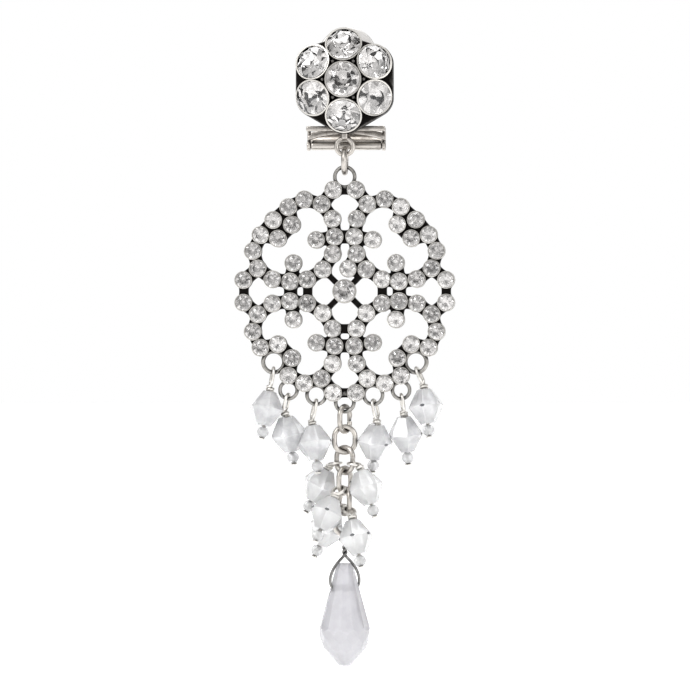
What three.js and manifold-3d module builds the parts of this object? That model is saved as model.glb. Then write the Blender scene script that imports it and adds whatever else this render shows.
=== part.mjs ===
// A chandelier ear clip, hanging as it is worn: a domed cluster of seven round stones on a sprung clip,
// a jump ring, a round openwork medallion paved with small stones, a fringe of six crystal drops, and a
// chain tassel that carries five more and ends in a teardrop.
//
// Millimetres, +Z up, the front faces -Y. The origin is where the clip grips the ear lobe: on the back
// face of the clip's base plate, opposite the middle of the lever's pad.

import * as THREE from "three";
import { mergeVertices } from "three/addons/utils/BufferGeometryUtils.js";
import Module from "manifold-3d";

const wasm = await Module();
wasm.setup();

const { degToRad } = THREE.MathUtils;

const INTO = 0.1; // how far a piece runs into another that it is joined to
const PAST = 1; // how far a cutter runs past what it cuts

// ---------------------------------------------------------------- driving dimensions

// Cluster: one stone in the middle and six round it, each in a closed cup. The outer six lean outwards.
const CLUSTER_Z = -3.4; // the cluster's middle, below the grip
const CLUSTER_PITCH = 4.5; // from the middle stone to each outer one
const CLUSTER_LEAN = degToRad(24);
const PLATE_BACK = -0.85;
const PLATE_FRONT = -2.75;
const PLATE_CORNERS = [1.2, 2.25, 2.25, 2.25, 2.25, 2.25]; // the plate's corner radii, from the top
const STONE = { girdle: 2.05, table: 1.2, culet: 0.16, crown: 0.78, pavilion: 1.9, edge: 0.08, sides: 16 };
const CUP = { wall: 0.18, gap: 0.1, depth: 2.7, lip: 0.2, seat: 0.25, floor: 2.05, floorRadius: 0.35 };
const MIDDLE_CUP_Y = -5.3; // girdle plane of the middle stone
const OUTER_CUP_Y = -4.4;

// The rings that carry the drop.
const HANG_Y = -2.0;
const FIXED_RING = { radius: 1.05, wire: 0.62, z: CLUSTER_Z - 8.28, neck: 0.6 };
const HANGER_RING = { radius: 1.5, wire: 0.72 };
const RING_FACETS = { section: 8, round: 20 };
const PLAY = 0.06; // free space where one ring rests in another
const LOOP_PLAY = 0.15; // the same where a wire rests in a flat loop

// Clip: a base plate with a cross bar and two ears, a bowed leaf spring, and a lever with a round pad.
const BASE = { thickness: 0.8, halfWidth: 3.8, top: 1.6, corner: 1.5, waist: 2.0, shoulder: -7.3 };
const CROSS_BAR = { halfWidth: 5.0, top: -9.0, bottom: -9.65 };
const EAR = { wall: 0.45, radius: 0.62, stemFront: 1.22, stemBack: 1.6 };
const SPRING = { halfWidth: 4.9, sheet: 0.54, middle: -9.7, ends: -10.5, front: 0.06, back: 1.12 };
const LEVER_AXIS = { y: 0.9, z: -11.45 };
const LEVER = { barRadius: 0.55, pinRadius: 0.3, play: 0.07, sheet: 0.9, neckHalf: 2.2, padRadius: 3.8 };
const LEVER_FOOT = { bottom: -11.95, top: -11.05, bend: 2.3, knee: -9.6, taper: 0.5 };
const FOOT_HALF = { betweenEars: 4.3, behindEars: 4.85 };
const LOBE_GAP = 3.0; // between the base plate and the lever's pad
const BAR_SIDES = 16; // of the lever's bar, its pins and their holes

// Medallion: small stones in cups on an openwork plate. One eighth of the pattern is charted here, and is
// mirrored about the vertical, the horizontal and the diagonals.
const CELL_R = 1.2; // outer radius of a small stone's cup
const CELL_SIDES = 10;
const MIDDLE_CELL_R = 1.5;
const MIDDLE_CELL_SIDES = 16;
const CELL_FRONT = -0.6;
const MEDALLION_BACK = 0.95;
const WEB = { reach: 2.6, width: 1.7, front: 0 }; // joins cups whose middles are within its reach
const TIE = { nearest: 2.8, farthest: 3.04, width: 1.2 }; // joins the cups that face each other over an axis
const STRUT_WIDTH = 0.8; // of the bars that tie the middle stone to the four inner corners
const LOOP_HALF_DEPTH = 0.38; // of the loops round the medallion's edge
const LOOP_SIDES = { rim: 18, hole: 16 };

const CELLS = [
  // across and up from the middle; the lower half has hanging loops where its corners would be
  { name: "crest", across: 1.43, up: 12.8 },
  { name: "shoulder", across: 2.89, up: 10.99 },
  { name: "arch", across: 5.08, up: 11.6 },
  { name: "haunch", across: 7.11, up: 10.63 },
  { name: "corner", across: 9.0, up: 9.0, upperHalfOnly: true },
  { name: "curl", across: 6.66, up: 8.42 },
  { name: "arm_end", across: 1.53, up: 9.12 },
  { name: "arm_middle", across: 1.24, up: 6.88 },
  { name: "arm_root", across: 1.51, up: 4.72 },
  { name: "bud", across: 3.57, up: 6.48 },
  { name: "inner_corner", across: 2.75, up: 2.75 },
];
const STRAY_CELL = { across: 0.45, up: 2.85 }; // one stone over the middle one, outside the pattern

// Loops in the medallion's edge: where they are from its middle, and the radii of the hole and the rim.
const TOP_LOOP = { across: 0, up: 14.42, hole: 1.03, rim: 1.5 };
const EYELETS = {
  outer_left: { across: -9.0, up: -8.9, hole: 1.06, rim: 1.6 },
  middle_left: { across: -7.11, up: -12.46, hole: 0.85, rim: 1.32 },
  inner_left: { across: -3.6, up: -13.07, hole: 0.95, rim: 1.42 },
  centre: { across: 0, up: -14.03, hole: 0.9, rim: 1.4 },
  inner_right: { across: 3.6, up: -13.07, hole: 0.95, rim: 1.42 },
  middle_right: { across: 7.11, up: -12.46, hole: 0.85, rim: 1.32 },
  outer_right: { across: 9.0, up: -8.9, hole: 1.06, rim: 1.6 },
};

// Crystal drops: a wire pin with an oval eye and a wrapped neck, a bicone, and a small bead at its foot.
const PIN = { wire: 0.45, eyeHalfWidth: 0.76, wrapRadius: 0.56, wrapHeight: 0.7, sides: 7 };
const EYE_FACETS = { section: 6, round: 12 };
const BICONE = { half: 2.2, girdle: 2.2, end: 0.8, hole: 0.42, belt: 0.12, sides: 6 };
const TIP = { radius: 0.74, hole: 0.36, belt: 0.68, beltHalf: 0.3, sides: 7 };
const PIN_HEAD = { radius: 0.42, height: 0.2 };
const BEAD_GAP = 0.08;

// Each drop of the fringe: its eyelet, the length of its eye, the lean of the eye and of the bead to the
// right, the bead's lean to the back, and the turn of the whole about the vertical, in degrees.
const FRINGE = [
  { name: "fringe_1", eyelet: "outer_left", eye: 2.4, eyeLean: -10, beadLean: -8, back: -11, turn: 12 },
  { name: "fringe_2", eyelet: "middle_left", eye: 2.2, eyeLean: -13, beadLean: 9, back: 7, turn: -14 },
  { name: "fringe_3", eyelet: "inner_left", eye: 2.65, eyeLean: -13, beadLean: 8, back: -11, turn: 16 },
  { name: "fringe_4", eyelet: "inner_right", eye: 2.45, eyeLean: 13, beadLean: -6, back: 8, turn: -16 },
  { name: "fringe_5", eyelet: "middle_right", eye: 2.15, eyeLean: 8, beadLean: 5, back: 8, turn: 12 },
  { name: "fringe_6", eyelet: "outer_right", eye: 2.25, eyeLean: 26, beadLean: 6, back: -8, turn: -10 },
];

// Tassel: a cable chain, each link turned about the vertical (degrees, from facing the front).
const LINK = { halfWidth: 1.35, length: 3.3, wire: 0.65 };
const LINK_FACETS = { section: 6, round: 16 };
const LINK_TURNS = [66, 12, -35, 60, -60, 20];

// Each drop of the tassel hangs on a link's lower bend: how far round it (degrees from the lowest point,
// + to the link's right), the length of its eye, and the bead's leans and turn.
const TASSEL = [
  { name: "tassel_1", link: 3, bend: -84, eye: 1.6, beadLean: -27, back: 4, turn: 15 },
  { name: "tassel_2", link: 3, bend: 84, eye: 1.6, beadLean: 17, back: -6, turn: -12 },
  { name: "tassel_3", link: 4, bend: -58, eye: 1.7, beadLean: -20, back: -23, turn: 5 },
  { name: "tassel_4", link: 5, bend: -75, eye: 1.6, beadLean: -25, back: 3, turn: 25 },
  { name: "tassel_5", link: 5, bend: 56, eye: 1.6, beadLean: 11, back: -13, turn: -8 },
];

// Teardrop on a wire bail. Drops are distances below the peak of the bail's bow.
const BAIL = { wire: 0.4, eye: 0.75, neck: 0.34, twist: 1.8 };
const BAIL_TURN = 24;
const BAIL_BOW = [
  { across: 0, drop: 0 },
  { across: 0.88, drop: 0.7 },
  { across: 1.95, drop: 2.5 },
  { across: 1.72, drop: 3.57 },
  { across: 0.68, drop: 4.1 },
];
const BAIL_FACETS = { section: 6, round: 14, along: 28, twist: 8 };
const CROSS_HOLE = { drop: 4.1, radius: 0.6, sides: 10 };
const TEARDROP_SIDES = 12;
const TEARDROP_PROFILE = [
  { radius: 0, drop: 0.8 },
  { radius: 0.5, drop: 0.85 },
  { radius: 1.22, drop: 2.2 },
  { radius: 1.7, drop: 4.2 },
  { radius: 3.25, drop: 9.4 },
  { radius: 3.2, drop: 9.9 },
  { radius: 2.35, drop: 12.0 },
  { radius: 0.6, drop: 13.75 },
  { radius: 0, drop: 13.85 },
];

// ---------------------------------------------------------------- materials

const antiqueSilver = new THREE.MeshStandardMaterial({ color: 0x8f8d8a, roughness: 0.38, metalness: 1 });
const brightSilver = new THREE.MeshStandardMaterial({ color: 0xc9c6c1, roughness: 0.22, metalness: 1 });
const foiledCrystal = new THREE.MeshStandardMaterial({ color: 0xd6d6d8, roughness: 0.05, metalness: 0.3 });
const clearCrystal = new THREE.MeshStandardMaterial({
  color: 0xe2e4e6,
  roughness: 0.03,
  metalness: 0,
  transparent: true,
  opacity: 0.6,
});

// ---------------------------------------------------------------- making shapes

// A closed geometry as a solid that joins and cuts, with its faces pointing outwards.
function solid(geometry) {
  const bare = geometry.clone();
  bare.deleteAttribute("normal");
  bare.deleteAttribute("uv");
  const { attributes, index } = mergeVertices(bare, 1e-4);
  const triVerts = new Uint32Array(index.array);
  const build = () =>
    new wasm.Manifold(new wasm.Mesh({ numProp: 3, vertProperties: attributes.position.array, triVerts }));
  const made = build();
  if (made.volume() >= 0) return made;
  for (let i = 0; i < triVerts.length; i += 3) {
    [triVerts[i + 1], triVerts[i + 2]] = [triVerts[i + 2], triVerts[i + 1]];
  }
  return build();
}

function joined(solids) {
  return solids.reduce((whole, piece) => whole.add(piece));
}

function geometryOf(made) {
  const { numVert, numProp, vertProperties, triVerts } = made.getMesh();
  const points = new Float32Array(numVert * 3);
  for (let i = 0; i < numVert; i++) {
    points.set(vertProperties.subarray(i * numProp, i * numProp + 3), i * 3);
  }
  const geometry = new THREE.BufferGeometry();
  geometry.setAttribute("position", new THREE.BufferAttribute(points, 3));
  geometry.setIndex(new THREE.BufferAttribute(triVerts, 1));
  return geometry;
}

// A shape turned about the Z axis, from [radius, z] pairs.
function turned(profile, sides) {
  const points = profile.map(([radius, z]) => new THREE.Vector2(radius, z));
  return new THREE.LatheGeometry(points, sides).rotateX(Math.PI / 2);
}

// A round bar between two places on the x, y or z axis.
function bar(radius, from, to, axis, sides) {
  const made = new THREE.CylinderGeometry(radius, radius, to - from, sides);
  made.translate(0, (from + to) / 2, 0);
  if (axis === "x") made.rotateZ(-Math.PI / 2);
  if (axis === "z") made.rotateX(Math.PI / 2);
  return made;
}

function block(x, y, z) {
  const made = new THREE.BoxGeometry(x[1] - x[0], y[1] - y[0], z[1] - z[0]);
  return made.translate((x[0] + x[1]) / 2, (y[0] + y[1]) / 2, (z[0] + z[1]) / 2);
}

// An outline drawn in X and Z, given its thickness in Y.
function sheetMetal(outline, front, back, curveSegments) {
  const made = new THREE.ExtrudeGeometry(outline, {
    depth: back - front,
    bevelEnabled: false,
    curveSegments,
  });
  return made.rotateX(Math.PI / 2).translate(0, back, 0);
}

// A round wire ring about the z axis.
function wireRing(radius, wire) {
  return new THREE.TorusGeometry(radius, wire / 2, RING_FACETS.section, RING_FACETS.round);
}

// An oval wire ring in the XZ plane. Its centreline starts at the origin and hangs `length` below it.
function ovalRing(halfWidth, length, wire, steps, sides) {
  const ring = new THREE.TorusGeometry(halfWidth, wire / 2, sides, steps);
  ring.rotateZ(Math.PI / steps).rotateX(Math.PI / 2);
  const stretch = length / 2 - halfWidth;
  const at = ring.attributes.position;
  for (let i = 0; i < at.count; i++) at.setZ(i, at.getZ(i) + Math.sign(at.getZ(i)) * stretch);
  return ring.translate(0, 0, -length / 2);
}

function addMesh(parent, name, geometry, material) {
  const mesh = new THREE.Mesh(geometry, material);
  mesh.name = name;
  parent.add(mesh);
  return mesh;
}

function addGroup(parent, position) {
  const group = new THREE.Group();
  group.position.copy(position);
  parent.add(group);
  return group;
}

// ---------------------------------------------------------------- cluster

// The seven seats: the middle one faces forwards, and the outer six lean away from it.
const SEATS = [{ across: 0, up: 0, y: MIDDLE_CUP_Y, lean: 0, angle: 0 }];
for (let i = 0; i < 6; i++) {
  const angle = Math.PI / 2 - (i * Math.PI) / 3;
  SEATS.push({
    across: CLUSTER_PITCH * Math.cos(angle),
    up: CLUSTER_PITCH * Math.sin(angle),
    y: OUTER_CUP_Y,
    lean: CLUSTER_LEAN,
    angle,
  });
}

// Turns something built along +Z to face out of a seat, and puts it there.
function seatMatrix({ across, up, y, lean, angle }) {
  const facing = new THREE.Vector3(
    Math.sin(lean) * Math.cos(angle),
    -Math.cos(lean),
    Math.sin(lean) * Math.sin(angle),
  );
  const turn = new THREE.Quaternion().setFromUnitVectors(new THREE.Vector3(0, 0, 1), facing);
  const place = new THREE.Vector3(across, y, up + CLUSTER_Z);
  return new THREE.Matrix4().compose(place, turn, new THREE.Vector3(1, 1, 1));
}

// A brilliant-cut stone with its girdle at z = 0 and its table towards +Z.
function clusterStone() {
  const { girdle, table, culet, crown, pavilion, edge, sides } = STONE;
  return turned(
    [[0, -pavilion], [culet, -pavilion], [girdle, -edge], [girdle, edge], [table, crown], [0, crown]],
    sides,
  );
}

function cupOutside() {
  const radius = STONE.girdle + CUP.gap + CUP.wall;
  return turned([[0, -CUP.depth], [radius, -CUP.depth], [radius, CUP.lip], [0, CUP.lip]], STONE.sides);
}

function cupInside() {
  const radius = STONE.girdle + CUP.gap;
  const above = CUP.lip + PAST;
  return turned(
    [[0, -CUP.floor], [CUP.floorRadius, -CUP.floor], [radius, -CUP.seat], [radius, above], [0, above]],
    STONE.sides,
  );
}

function clusterSetting() {
  const outline = new THREE.Shape();
  for (let i = 0; i < 6; i++) {
    const angle = Math.PI / 2 + (i * Math.PI) / 3;
    const x = CLUSTER_PITCH * Math.cos(angle);
    const z = CLUSTER_PITCH * Math.sin(angle);
    outline.absarc(x, z, PLATE_CORNERS[i], angle - Math.PI / 6, angle + Math.PI / 6, false);
  }
  const plate = sheetMetal(outline, PLATE_FRONT, PLATE_BACK, 4).translate(0, 0, CLUSTER_Z);
  const cups = SEATS.map((seat) => solid(cupOutside().applyMatrix4(seatMatrix(seat))));
  const hollows = SEATS.map((seat) => solid(cupInside().applyMatrix4(seatMatrix(seat))));
  const { radius, wire, z, neck } = FIXED_RING;
  const ring = wireRing(radius, wire).rotateX(Math.PI / 2).translate(0, HANG_Y, z);
  const neckHeight = [z + radius - INTO, CLUSTER_Z - CLUSTER_PITCH];
  const neckBlock = block([-neck, neck], [PLATE_FRONT + INTO, PLATE_BACK - INTO], neckHeight);
  return joined([solid(plate), ...cups, solid(ring), solid(neckBlock)]).subtract(joined(hollows));
}

function addCluster(head) {
  addMesh(head, "cluster_setting", geometryOf(clusterSetting()), antiqueSilver);
  const stone = clusterStone();
  SEATS.forEach((seat, i) => {
    const mesh = addMesh(head, i ? `cluster_stone_${i}` : "cluster_stone_middle", stone, foiledCrystal);
    seatMatrix(seat).decompose(mesh.position, mesh.quaternion, mesh.scale);
  });
}

// ---------------------------------------------------------------- clip

function clipBase() {
  const { thickness, halfWidth, top, corner, waist, shoulder } = BASE;
  const outline = new THREE.Shape();
  outline.moveTo(-CROSS_BAR.halfWidth, CROSS_BAR.bottom);
  outline.lineTo(CROSS_BAR.halfWidth, CROSS_BAR.bottom);
  outline.lineTo(CROSS_BAR.halfWidth, CROSS_BAR.top);
  outline.lineTo(waist, CROSS_BAR.top);
  outline.lineTo(halfWidth, shoulder);
  outline.absarc(halfWidth - corner, top - corner, corner, 0, Math.PI / 2, false);
  outline.absarc(corner - halfWidth, top - corner, corner, Math.PI / 2, Math.PI, false);
  outline.lineTo(-halfWidth, shoulder);
  outline.lineTo(-waist, CROSS_BAR.top);
  outline.lineTo(-CROSS_BAR.halfWidth, CROSS_BAR.top);
  const plate = solid(sheetMetal(outline, -thickness, 0, 5));
  const ears = [-1, 1].map((side) => {
    const faces = [side * CROSS_BAR.halfWidth, side * (CROSS_BAR.halfWidth - EAR.wall)];
    const x = [Math.min(...faces), Math.max(...faces)];
    const atAxis = (geometry) => solid(geometry.translate(0, LEVER_AXIS.y, LEVER_AXIS.z));
    const eye = atAxis(bar(EAR.radius, x[0], x[1], "x", BAR_SIDES));
    const stem = solid(block(x, [EAR.stemFront, EAR.stemBack], [LEVER_AXIS.z, CROSS_BAR.top - INTO]));
    const root = solid(block(x, [-INTO, EAR.stemBack], [CROSS_BAR.bottom, CROSS_BAR.top - INTO]));
    const hole = atAxis(bar(LEVER.pinRadius + LEVER.play, x[0] - PAST, x[1] + PAST, "x", BAR_SIDES));
    return joined([eye, stem, root]).subtract(hole);
  });
  return joined([plate, ...ears]);
}

// The bowed leaf between the cross bar and the lever's bar.
function clipSpring() {
  const { halfWidth, sheet, middle, ends, front, back } = SPRING;
  const crown = 2 * middle - ends; // the control height that brings the bow's top to the middle
  const outline = new THREE.Shape();
  outline.moveTo(-halfWidth, ends - sheet / 2);
  outline.quadraticCurveTo(0, crown - sheet / 2, halfWidth, ends - sheet / 2);
  outline.lineTo(halfWidth, ends + sheet / 2);
  outline.quadraticCurveTo(0, crown + sheet / 2, -halfWidth, ends + sheet / 2);
  return sheetMetal(outline, front, back, 8);
}

// The lever's bent foot, back from a start, drawn from the side with depth (y) across and height (z) up.
function leverFoot(halfWidth, start) {
  const { bottom, top, bend, knee } = LEVER_FOOT;
  const outer = LOBE_GAP + LEVER.sheet;
  const side = new THREE.Shape();
  side.moveTo(start, bottom);
  side.lineTo(bend, bottom);
  side.quadraticCurveTo(outer, bottom, outer, knee);
  side.lineTo(LOBE_GAP, knee);
  side.quadraticCurveTo(LOBE_GAP, top, bend, top);
  side.lineTo(start, top);
  const foot = new THREE.ExtrudeGeometry(side, {
    depth: 2 * halfWidth,
    bevelEnabled: false,
    curveSegments: 5,
  });
  const faceAlongX = new THREE.Matrix4().set(0, 0, 1, -halfWidth, 1, 0, 0, 0, 0, 1, 0, 0, 0, 0, 0, 1);
  return foot.applyMatrix4(faceAlongX);
}

// A bar that turns in the ears, a bent foot, and an arm that ends in the round pad.
function clipLever() {
  const { barRadius, pinRadius, play, sheet, neckHalf, padRadius } = LEVER;
  const { bend, knee, taper } = LEVER_FOOT;
  const { betweenEars, behindEars } = FOOT_HALF;
  const barEnd = CROSS_BAR.halfWidth - EAR.wall - play;
  const pinEnd = CROSS_BAR.halfWidth - play;
  const atAxis = (geometry) => solid(geometry.translate(0, LEVER_AXIS.y, LEVER_AXIS.z));
  const pivot = atAxis(bar(barRadius, -barEnd, barEnd, "x", BAR_SIDES));
  const pins = atAxis(bar(pinRadius, -pinEnd, pinEnd, "x", BAR_SIDES));
  const meet = Math.asin(neckHalf / padRadius);
  const front = new THREE.Shape();
  front.moveTo(-behindEars, knee);
  front.lineTo(behindEars, knee);
  front.lineTo(neckHalf, knee + taper);
  front.absarc(0, 0, padRadius, meet - Math.PI / 2, (3 * Math.PI) / 2 - meet, false);
  front.lineTo(-neckHalf, knee + taper);
  const arm = solid(sheetMetal(front, LOBE_GAP, LOBE_GAP + sheet, 20));
  const feet = [leverFoot(betweenEars, LEVER_AXIS.y - INTO), leverFoot(behindEars, bend - INTO)];
  return joined([pivot, pins, ...feet.map(solid), arm]);
}

function addClip(head) {
  addMesh(head, "clip_base", geometryOf(clipBase()), brightSilver);
  addMesh(head, "clip_spring", clipSpring(), brightSilver);
  addMesh(head, "clip_lever", geometryOf(clipLever()), brightSilver);
}

// ---------------------------------------------------------------- medallion

// Every small stone's place, from the charted eighth.
function medallionCells() {
  const places = [STRAY_CELL];
  for (const { across, up, upperHalfOnly } of CELLS) {
    const eighths = across === up ? [[across, up]] : [[across, up], [up, across]];
    for (const [x, z] of eighths) {
      for (const side of [-1, 1]) {
        places.push({ across: side * x, up: z });
        if (!upperHalfOnly) places.push({ across: side * x, up: -z });
      }
    }
  }
  return places;
}

// A flat bar of the openwork plate between two places.
function bridge(from, to, width) {
  const [across, up] = [to.across - from.across, to.up - from.up];
  const length = Math.hypot(across, up);
  const made = block([-length / 2, length / 2], [WEB.front, MEDALLION_BACK], [-width / 2, width / 2]);
  made.rotateY(-Math.atan2(up, across));
  return solid(made.translate(from.across + across / 2, 0, from.up + up / 2));
}

function distance(from, to) {
  return Math.hypot(to.across - from.across, to.up - from.up);
}

// Whether two cups have the stray cup between them, which takes their tie's place.
function besideStray(cell, other) {
  const between = { across: (cell.across + other.across) / 2, up: (cell.up + other.up) / 2 };
  return distance(between, STRAY_CELL) < 2;
}

function disc(radius, front, back, sides, { across, up }) {
  return solid(bar(radius, front, back, "y", sides).translate(across, 0, up));
}

function medallionSolid() {
  const middle = { across: 0, up: 0 };
  const cells = medallionCells();
  const cups = cells.map((cell) => disc(CELL_R, CELL_FRONT, MEDALLION_BACK, CELL_SIDES, cell));
  cups.push(disc(MIDDLE_CELL_R, CELL_FRONT, MEDALLION_BACK, MIDDLE_CELL_SIDES, middle));
  const webs = [];
  cells.forEach((cell, i) => {
    for (const other of cells.slice(i + 1)) {
      const gap = distance(cell, other);
      if (gap < WEB.reach) webs.push(bridge(cell, other, WEB.width));
      if (gap > TIE.nearest && gap < TIE.farthest && !besideStray(cell, other)) {
        webs.push(bridge(cell, other, TIE.width));
      }
    }
  });
  const corner = CELLS.find(({ name }) => name === "inner_corner");
  for (const side of [-1, 1]) {
    for (const level of [-1, 1]) {
      webs.push(bridge(middle, { across: side * corner.across, up: level * corner.up }, STRUT_WIDTH));
    }
  }
  const loops = [TOP_LOOP, ...Object.values(EYELETS)];
  const rims = loops.map((loop) => disc(loop.rim, -LOOP_HALF_DEPTH, LOOP_HALF_DEPTH, LOOP_SIDES.rim, loop));
  const past = LOOP_HALF_DEPTH + PAST;
  const holes = joined(loops.map((loop) => disc(loop.hole, -past, past, LOOP_SIDES.hole, loop)));
  return joined([...cups, ...webs, ...rims]).subtract(holes.subtract(joined(cups)));
}

// ---------------------------------------------------------------- drops

// A pin hung from its origin, with its eye in the YZ plane. The stem starts at the eye's foot, and
// `stemTurn` is its turn from straight down.
function dropPin(eye, stemTurn) {
  const { wire, eyeHalfWidth, wrapRadius, wrapHeight, sides } = PIN;
  const ring = ovalRing(eyeHalfWidth, eye, wire, EYE_FACETS.round, EYE_FACETS.section).rotateZ(Math.PI / 2);
  const head = -wrapHeight - 2 * BICONE.half - 2 * TIP.radius - 3 * BEAD_GAP;
  const foot = head - PIN_HEAD.height;
  const stem = turned(
    [[0, foot], [PIN_HEAD.radius, foot], [PIN_HEAD.radius, head], [wire / 2, head], [wire / 2, -wrapHeight],
      [wrapRadius, -wrapHeight], [wrapRadius, -INTO], [0, INTO]],
    sides,
  );
  stem.applyQuaternion(stemTurn).translate(0, 0, -eye);
  return joined([solid(ring), solid(stem)]);
}

function bicone() {
  const { half, girdle, end, hole, belt, sides } = BICONE;
  return turned(
    [[hole, -half], [end, -half], [girdle, -belt], [girdle, belt], [end, half], [hole, half], [hole, -half]],
    sides,
  );
}

function tipBead() {
  const { radius, hole, belt, beltHalf, sides } = TIP;
  const end = Math.sqrt(radius ** 2 - hole ** 2);
  return turned([[hole, -end], [belt, -beltHalf], [belt, beltHalf], [hole, end], [hole, -end]], sides);
}

const biconeShape = bicone();
const tipShape = tipBead();

// Hangs a drop with its eye at `at`, turned to `facing` and leaning by `eyeLean`, in degrees.
function addDrop(parent, { name, eye, eyeLean, beadLean, back, turn }, at, facing) {
  const hung = addGroup(parent, at);
  hung.rotation.set(0, -degToRad(eyeLean), degToRad(facing), "ZYX");
  const hanging = new THREE.Euler(degToRad(back), -degToRad(beadLean), degToRad(turn));
  const stemTurn = hung.quaternion.clone().invert().multiply(new THREE.Quaternion().setFromEuler(hanging));
  addMesh(hung, `${name}_pin`, geometryOf(dropPin(eye, stemTurn)), brightSilver);
  const stem = addGroup(hung, new THREE.Vector3(0, 0, -eye));
  stem.quaternion.copy(stemTurn);
  const beadZ = -PIN.wrapHeight - BEAD_GAP - BICONE.half;
  addMesh(stem, `${name}_bead`, biconeShape, clearCrystal).position.z = beadZ;
  const tipZ = beadZ - BICONE.half - BEAD_GAP - TIP.radius;
  addMesh(stem, `${name}_tip`, tipShape, clearCrystal).position.z = tipZ;
}

// Where a wire's middle is when it rests on the lower edge of a loop's hole.
function restIn({ across, up, hole }, wire) {
  return new THREE.Vector3(across, 0, up - hole + wire / 2 + LOOP_PLAY);
}

function addFringe(medallion) {
  for (const drop of FRINGE) {
    addDrop(medallion, drop, restIn(EYELETS[drop.eyelet], PIN.wire), drop.turn);
  }
}

// ---------------------------------------------------------------- tassel

// A wire eye, a twisted neck, and a bow whose ends meet in the teardrop's cross hole.
function bailSolid() {
  const { wire, eye, neck, twist } = BAIL;
  const { section, round, along, twist: twistSides } = BAIL_FACETS;
  const peak = -2 * eye - twist;
  const ring = new THREE.TorusGeometry(eye, wire / 2, section, round).rotateY(Math.PI / 2);
  ring.translate(0, 0, -eye);
  const twisted = bar(neck, peak - INTO, -2 * eye, "z", twistSides);
  const oneSide = BAIL_BOW.map(({ across, drop }) => new THREE.Vector3(across, 0, peak - drop));
  const otherSide = BAIL_BOW.slice(1).map(({ across, drop }) => new THREE.Vector3(-across, 0, peak - drop));
  const path = new THREE.CatmullRomCurve3([...oneSide.reverse(), ...otherSide]);
  const bow = new THREE.ExtrudeGeometry(new THREE.Shape().absarc(0, 0, wire / 2, 0, 2 * Math.PI, false), {
    extrudePath: path,
    steps: along,
    curveSegments: section / 2,
  });
  return joined([solid(ring), solid(twisted), solid(bow)]);
}

function teardropSolid() {
  const peak = -2 * BAIL.eye - BAIL.twist;
  const profile = TEARDROP_PROFILE.map(({ radius, drop }) => [radius, peak - drop]).reverse();
  const past = BAIL_BOW[2].across + PAST;
  const hole = bar(CROSS_HOLE.radius, -past, past, "x", CROSS_HOLE.sides);
  hole.translate(0, 0, peak - CROSS_HOLE.drop);
  return solid(turned(profile, TEARDROP_SIDES)).subtract(solid(hole));
}

const linkShape = ovalRing(LINK.halfWidth, LINK.length, LINK.wire, LINK_FACETS.round, LINK_FACETS.section);

function addTassel(medallion) {
  const first = restIn(EYELETS.centre, LINK.wire);
  const pitch = LINK.length - LINK.wire - PLAY;
  const linkTop = (number) => first.z - (number - 1) * pitch;
  LINK_TURNS.forEach((turn, i) => {
    const link = addMesh(medallion, `chain_link_${i + 1}`, linkShape, brightSilver);
    link.position.z = linkTop(i + 1);
    link.rotation.z = degToRad(turn);
  });
  for (const drop of TASSEL) {
    const facing = LINK_TURNS[drop.link - 1];
    const reach = LINK.halfWidth - LINK.wire / 2 - PIN.wire / 2 - PLAY;
    const along = reach * Math.sin(degToRad(drop.bend));
    const z = linkTop(drop.link) - LINK.length + LINK.halfWidth - reach * Math.cos(degToRad(drop.bend));
    const at = new THREE.Vector3(along * Math.cos(degToRad(facing)), along * Math.sin(degToRad(facing)), z);
    addDrop(medallion, { ...drop, eyeLean: drop.bend }, at, facing);
  }
  const lastFoot = linkTop(LINK_TURNS.length) - LINK.length;
  const hung = addGroup(medallion, new THREE.Vector3(0, 0, lastFoot + (LINK.wire + BAIL.wire) / 2 + PLAY));
  hung.rotation.z = degToRad(BAIL_TURN);
  addMesh(hung, "teardrop_bail", geometryOf(bailSolid()), brightSilver);
  addMesh(hung, "teardrop", geometryOf(teardropSolid()), clearCrystal);
}

// ---------------------------------------------------------------- the ear clip

const earClip = new THREE.Group();
addCluster(earClip);
addClip(earClip);

// The hanger ring rests in the fixed ring, and the medallion's top loop rests on the hanger ring.
const hangerTop = FIXED_RING.z - FIXED_RING.radius + (FIXED_RING.wire + HANGER_RING.wire) / 2 + PLAY;
const hangerZ = hangerTop - HANGER_RING.radius;
const hanger = wireRing(HANGER_RING.radius, HANGER_RING.wire).rotateY(Math.PI / 2);
addMesh(earClip, "hanger_ring", hanger, brightSilver).position.set(0, HANG_Y, hangerZ);

const hangerFoot = hangerZ - HANGER_RING.radius + HANGER_RING.wire / 2;
const loopTop = hangerFoot + LOOP_PLAY;
const medallionZ = loopTop - TOP_LOOP.hole - TOP_LOOP.up;
const medallion = addGroup(earClip, new THREE.Vector3(0, HANG_Y, medallionZ));
addMesh(medallion, "medallion", geometryOf(medallionSolid()), antiqueSilver);
addFringe(medallion);
addTassel(medallion);

export default earClip;
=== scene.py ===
import random
from math import atan, cos, hypot, pi, radians, sin, sqrt, tan

import bmesh
import bpy
import numpy as np
from bpy.props import FloatProperty, FloatVectorProperty, IntProperty, PointerProperty
from bpy.types import Operator, Panel, PropertyGroup
from mathutils import Matrix, Vector


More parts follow.
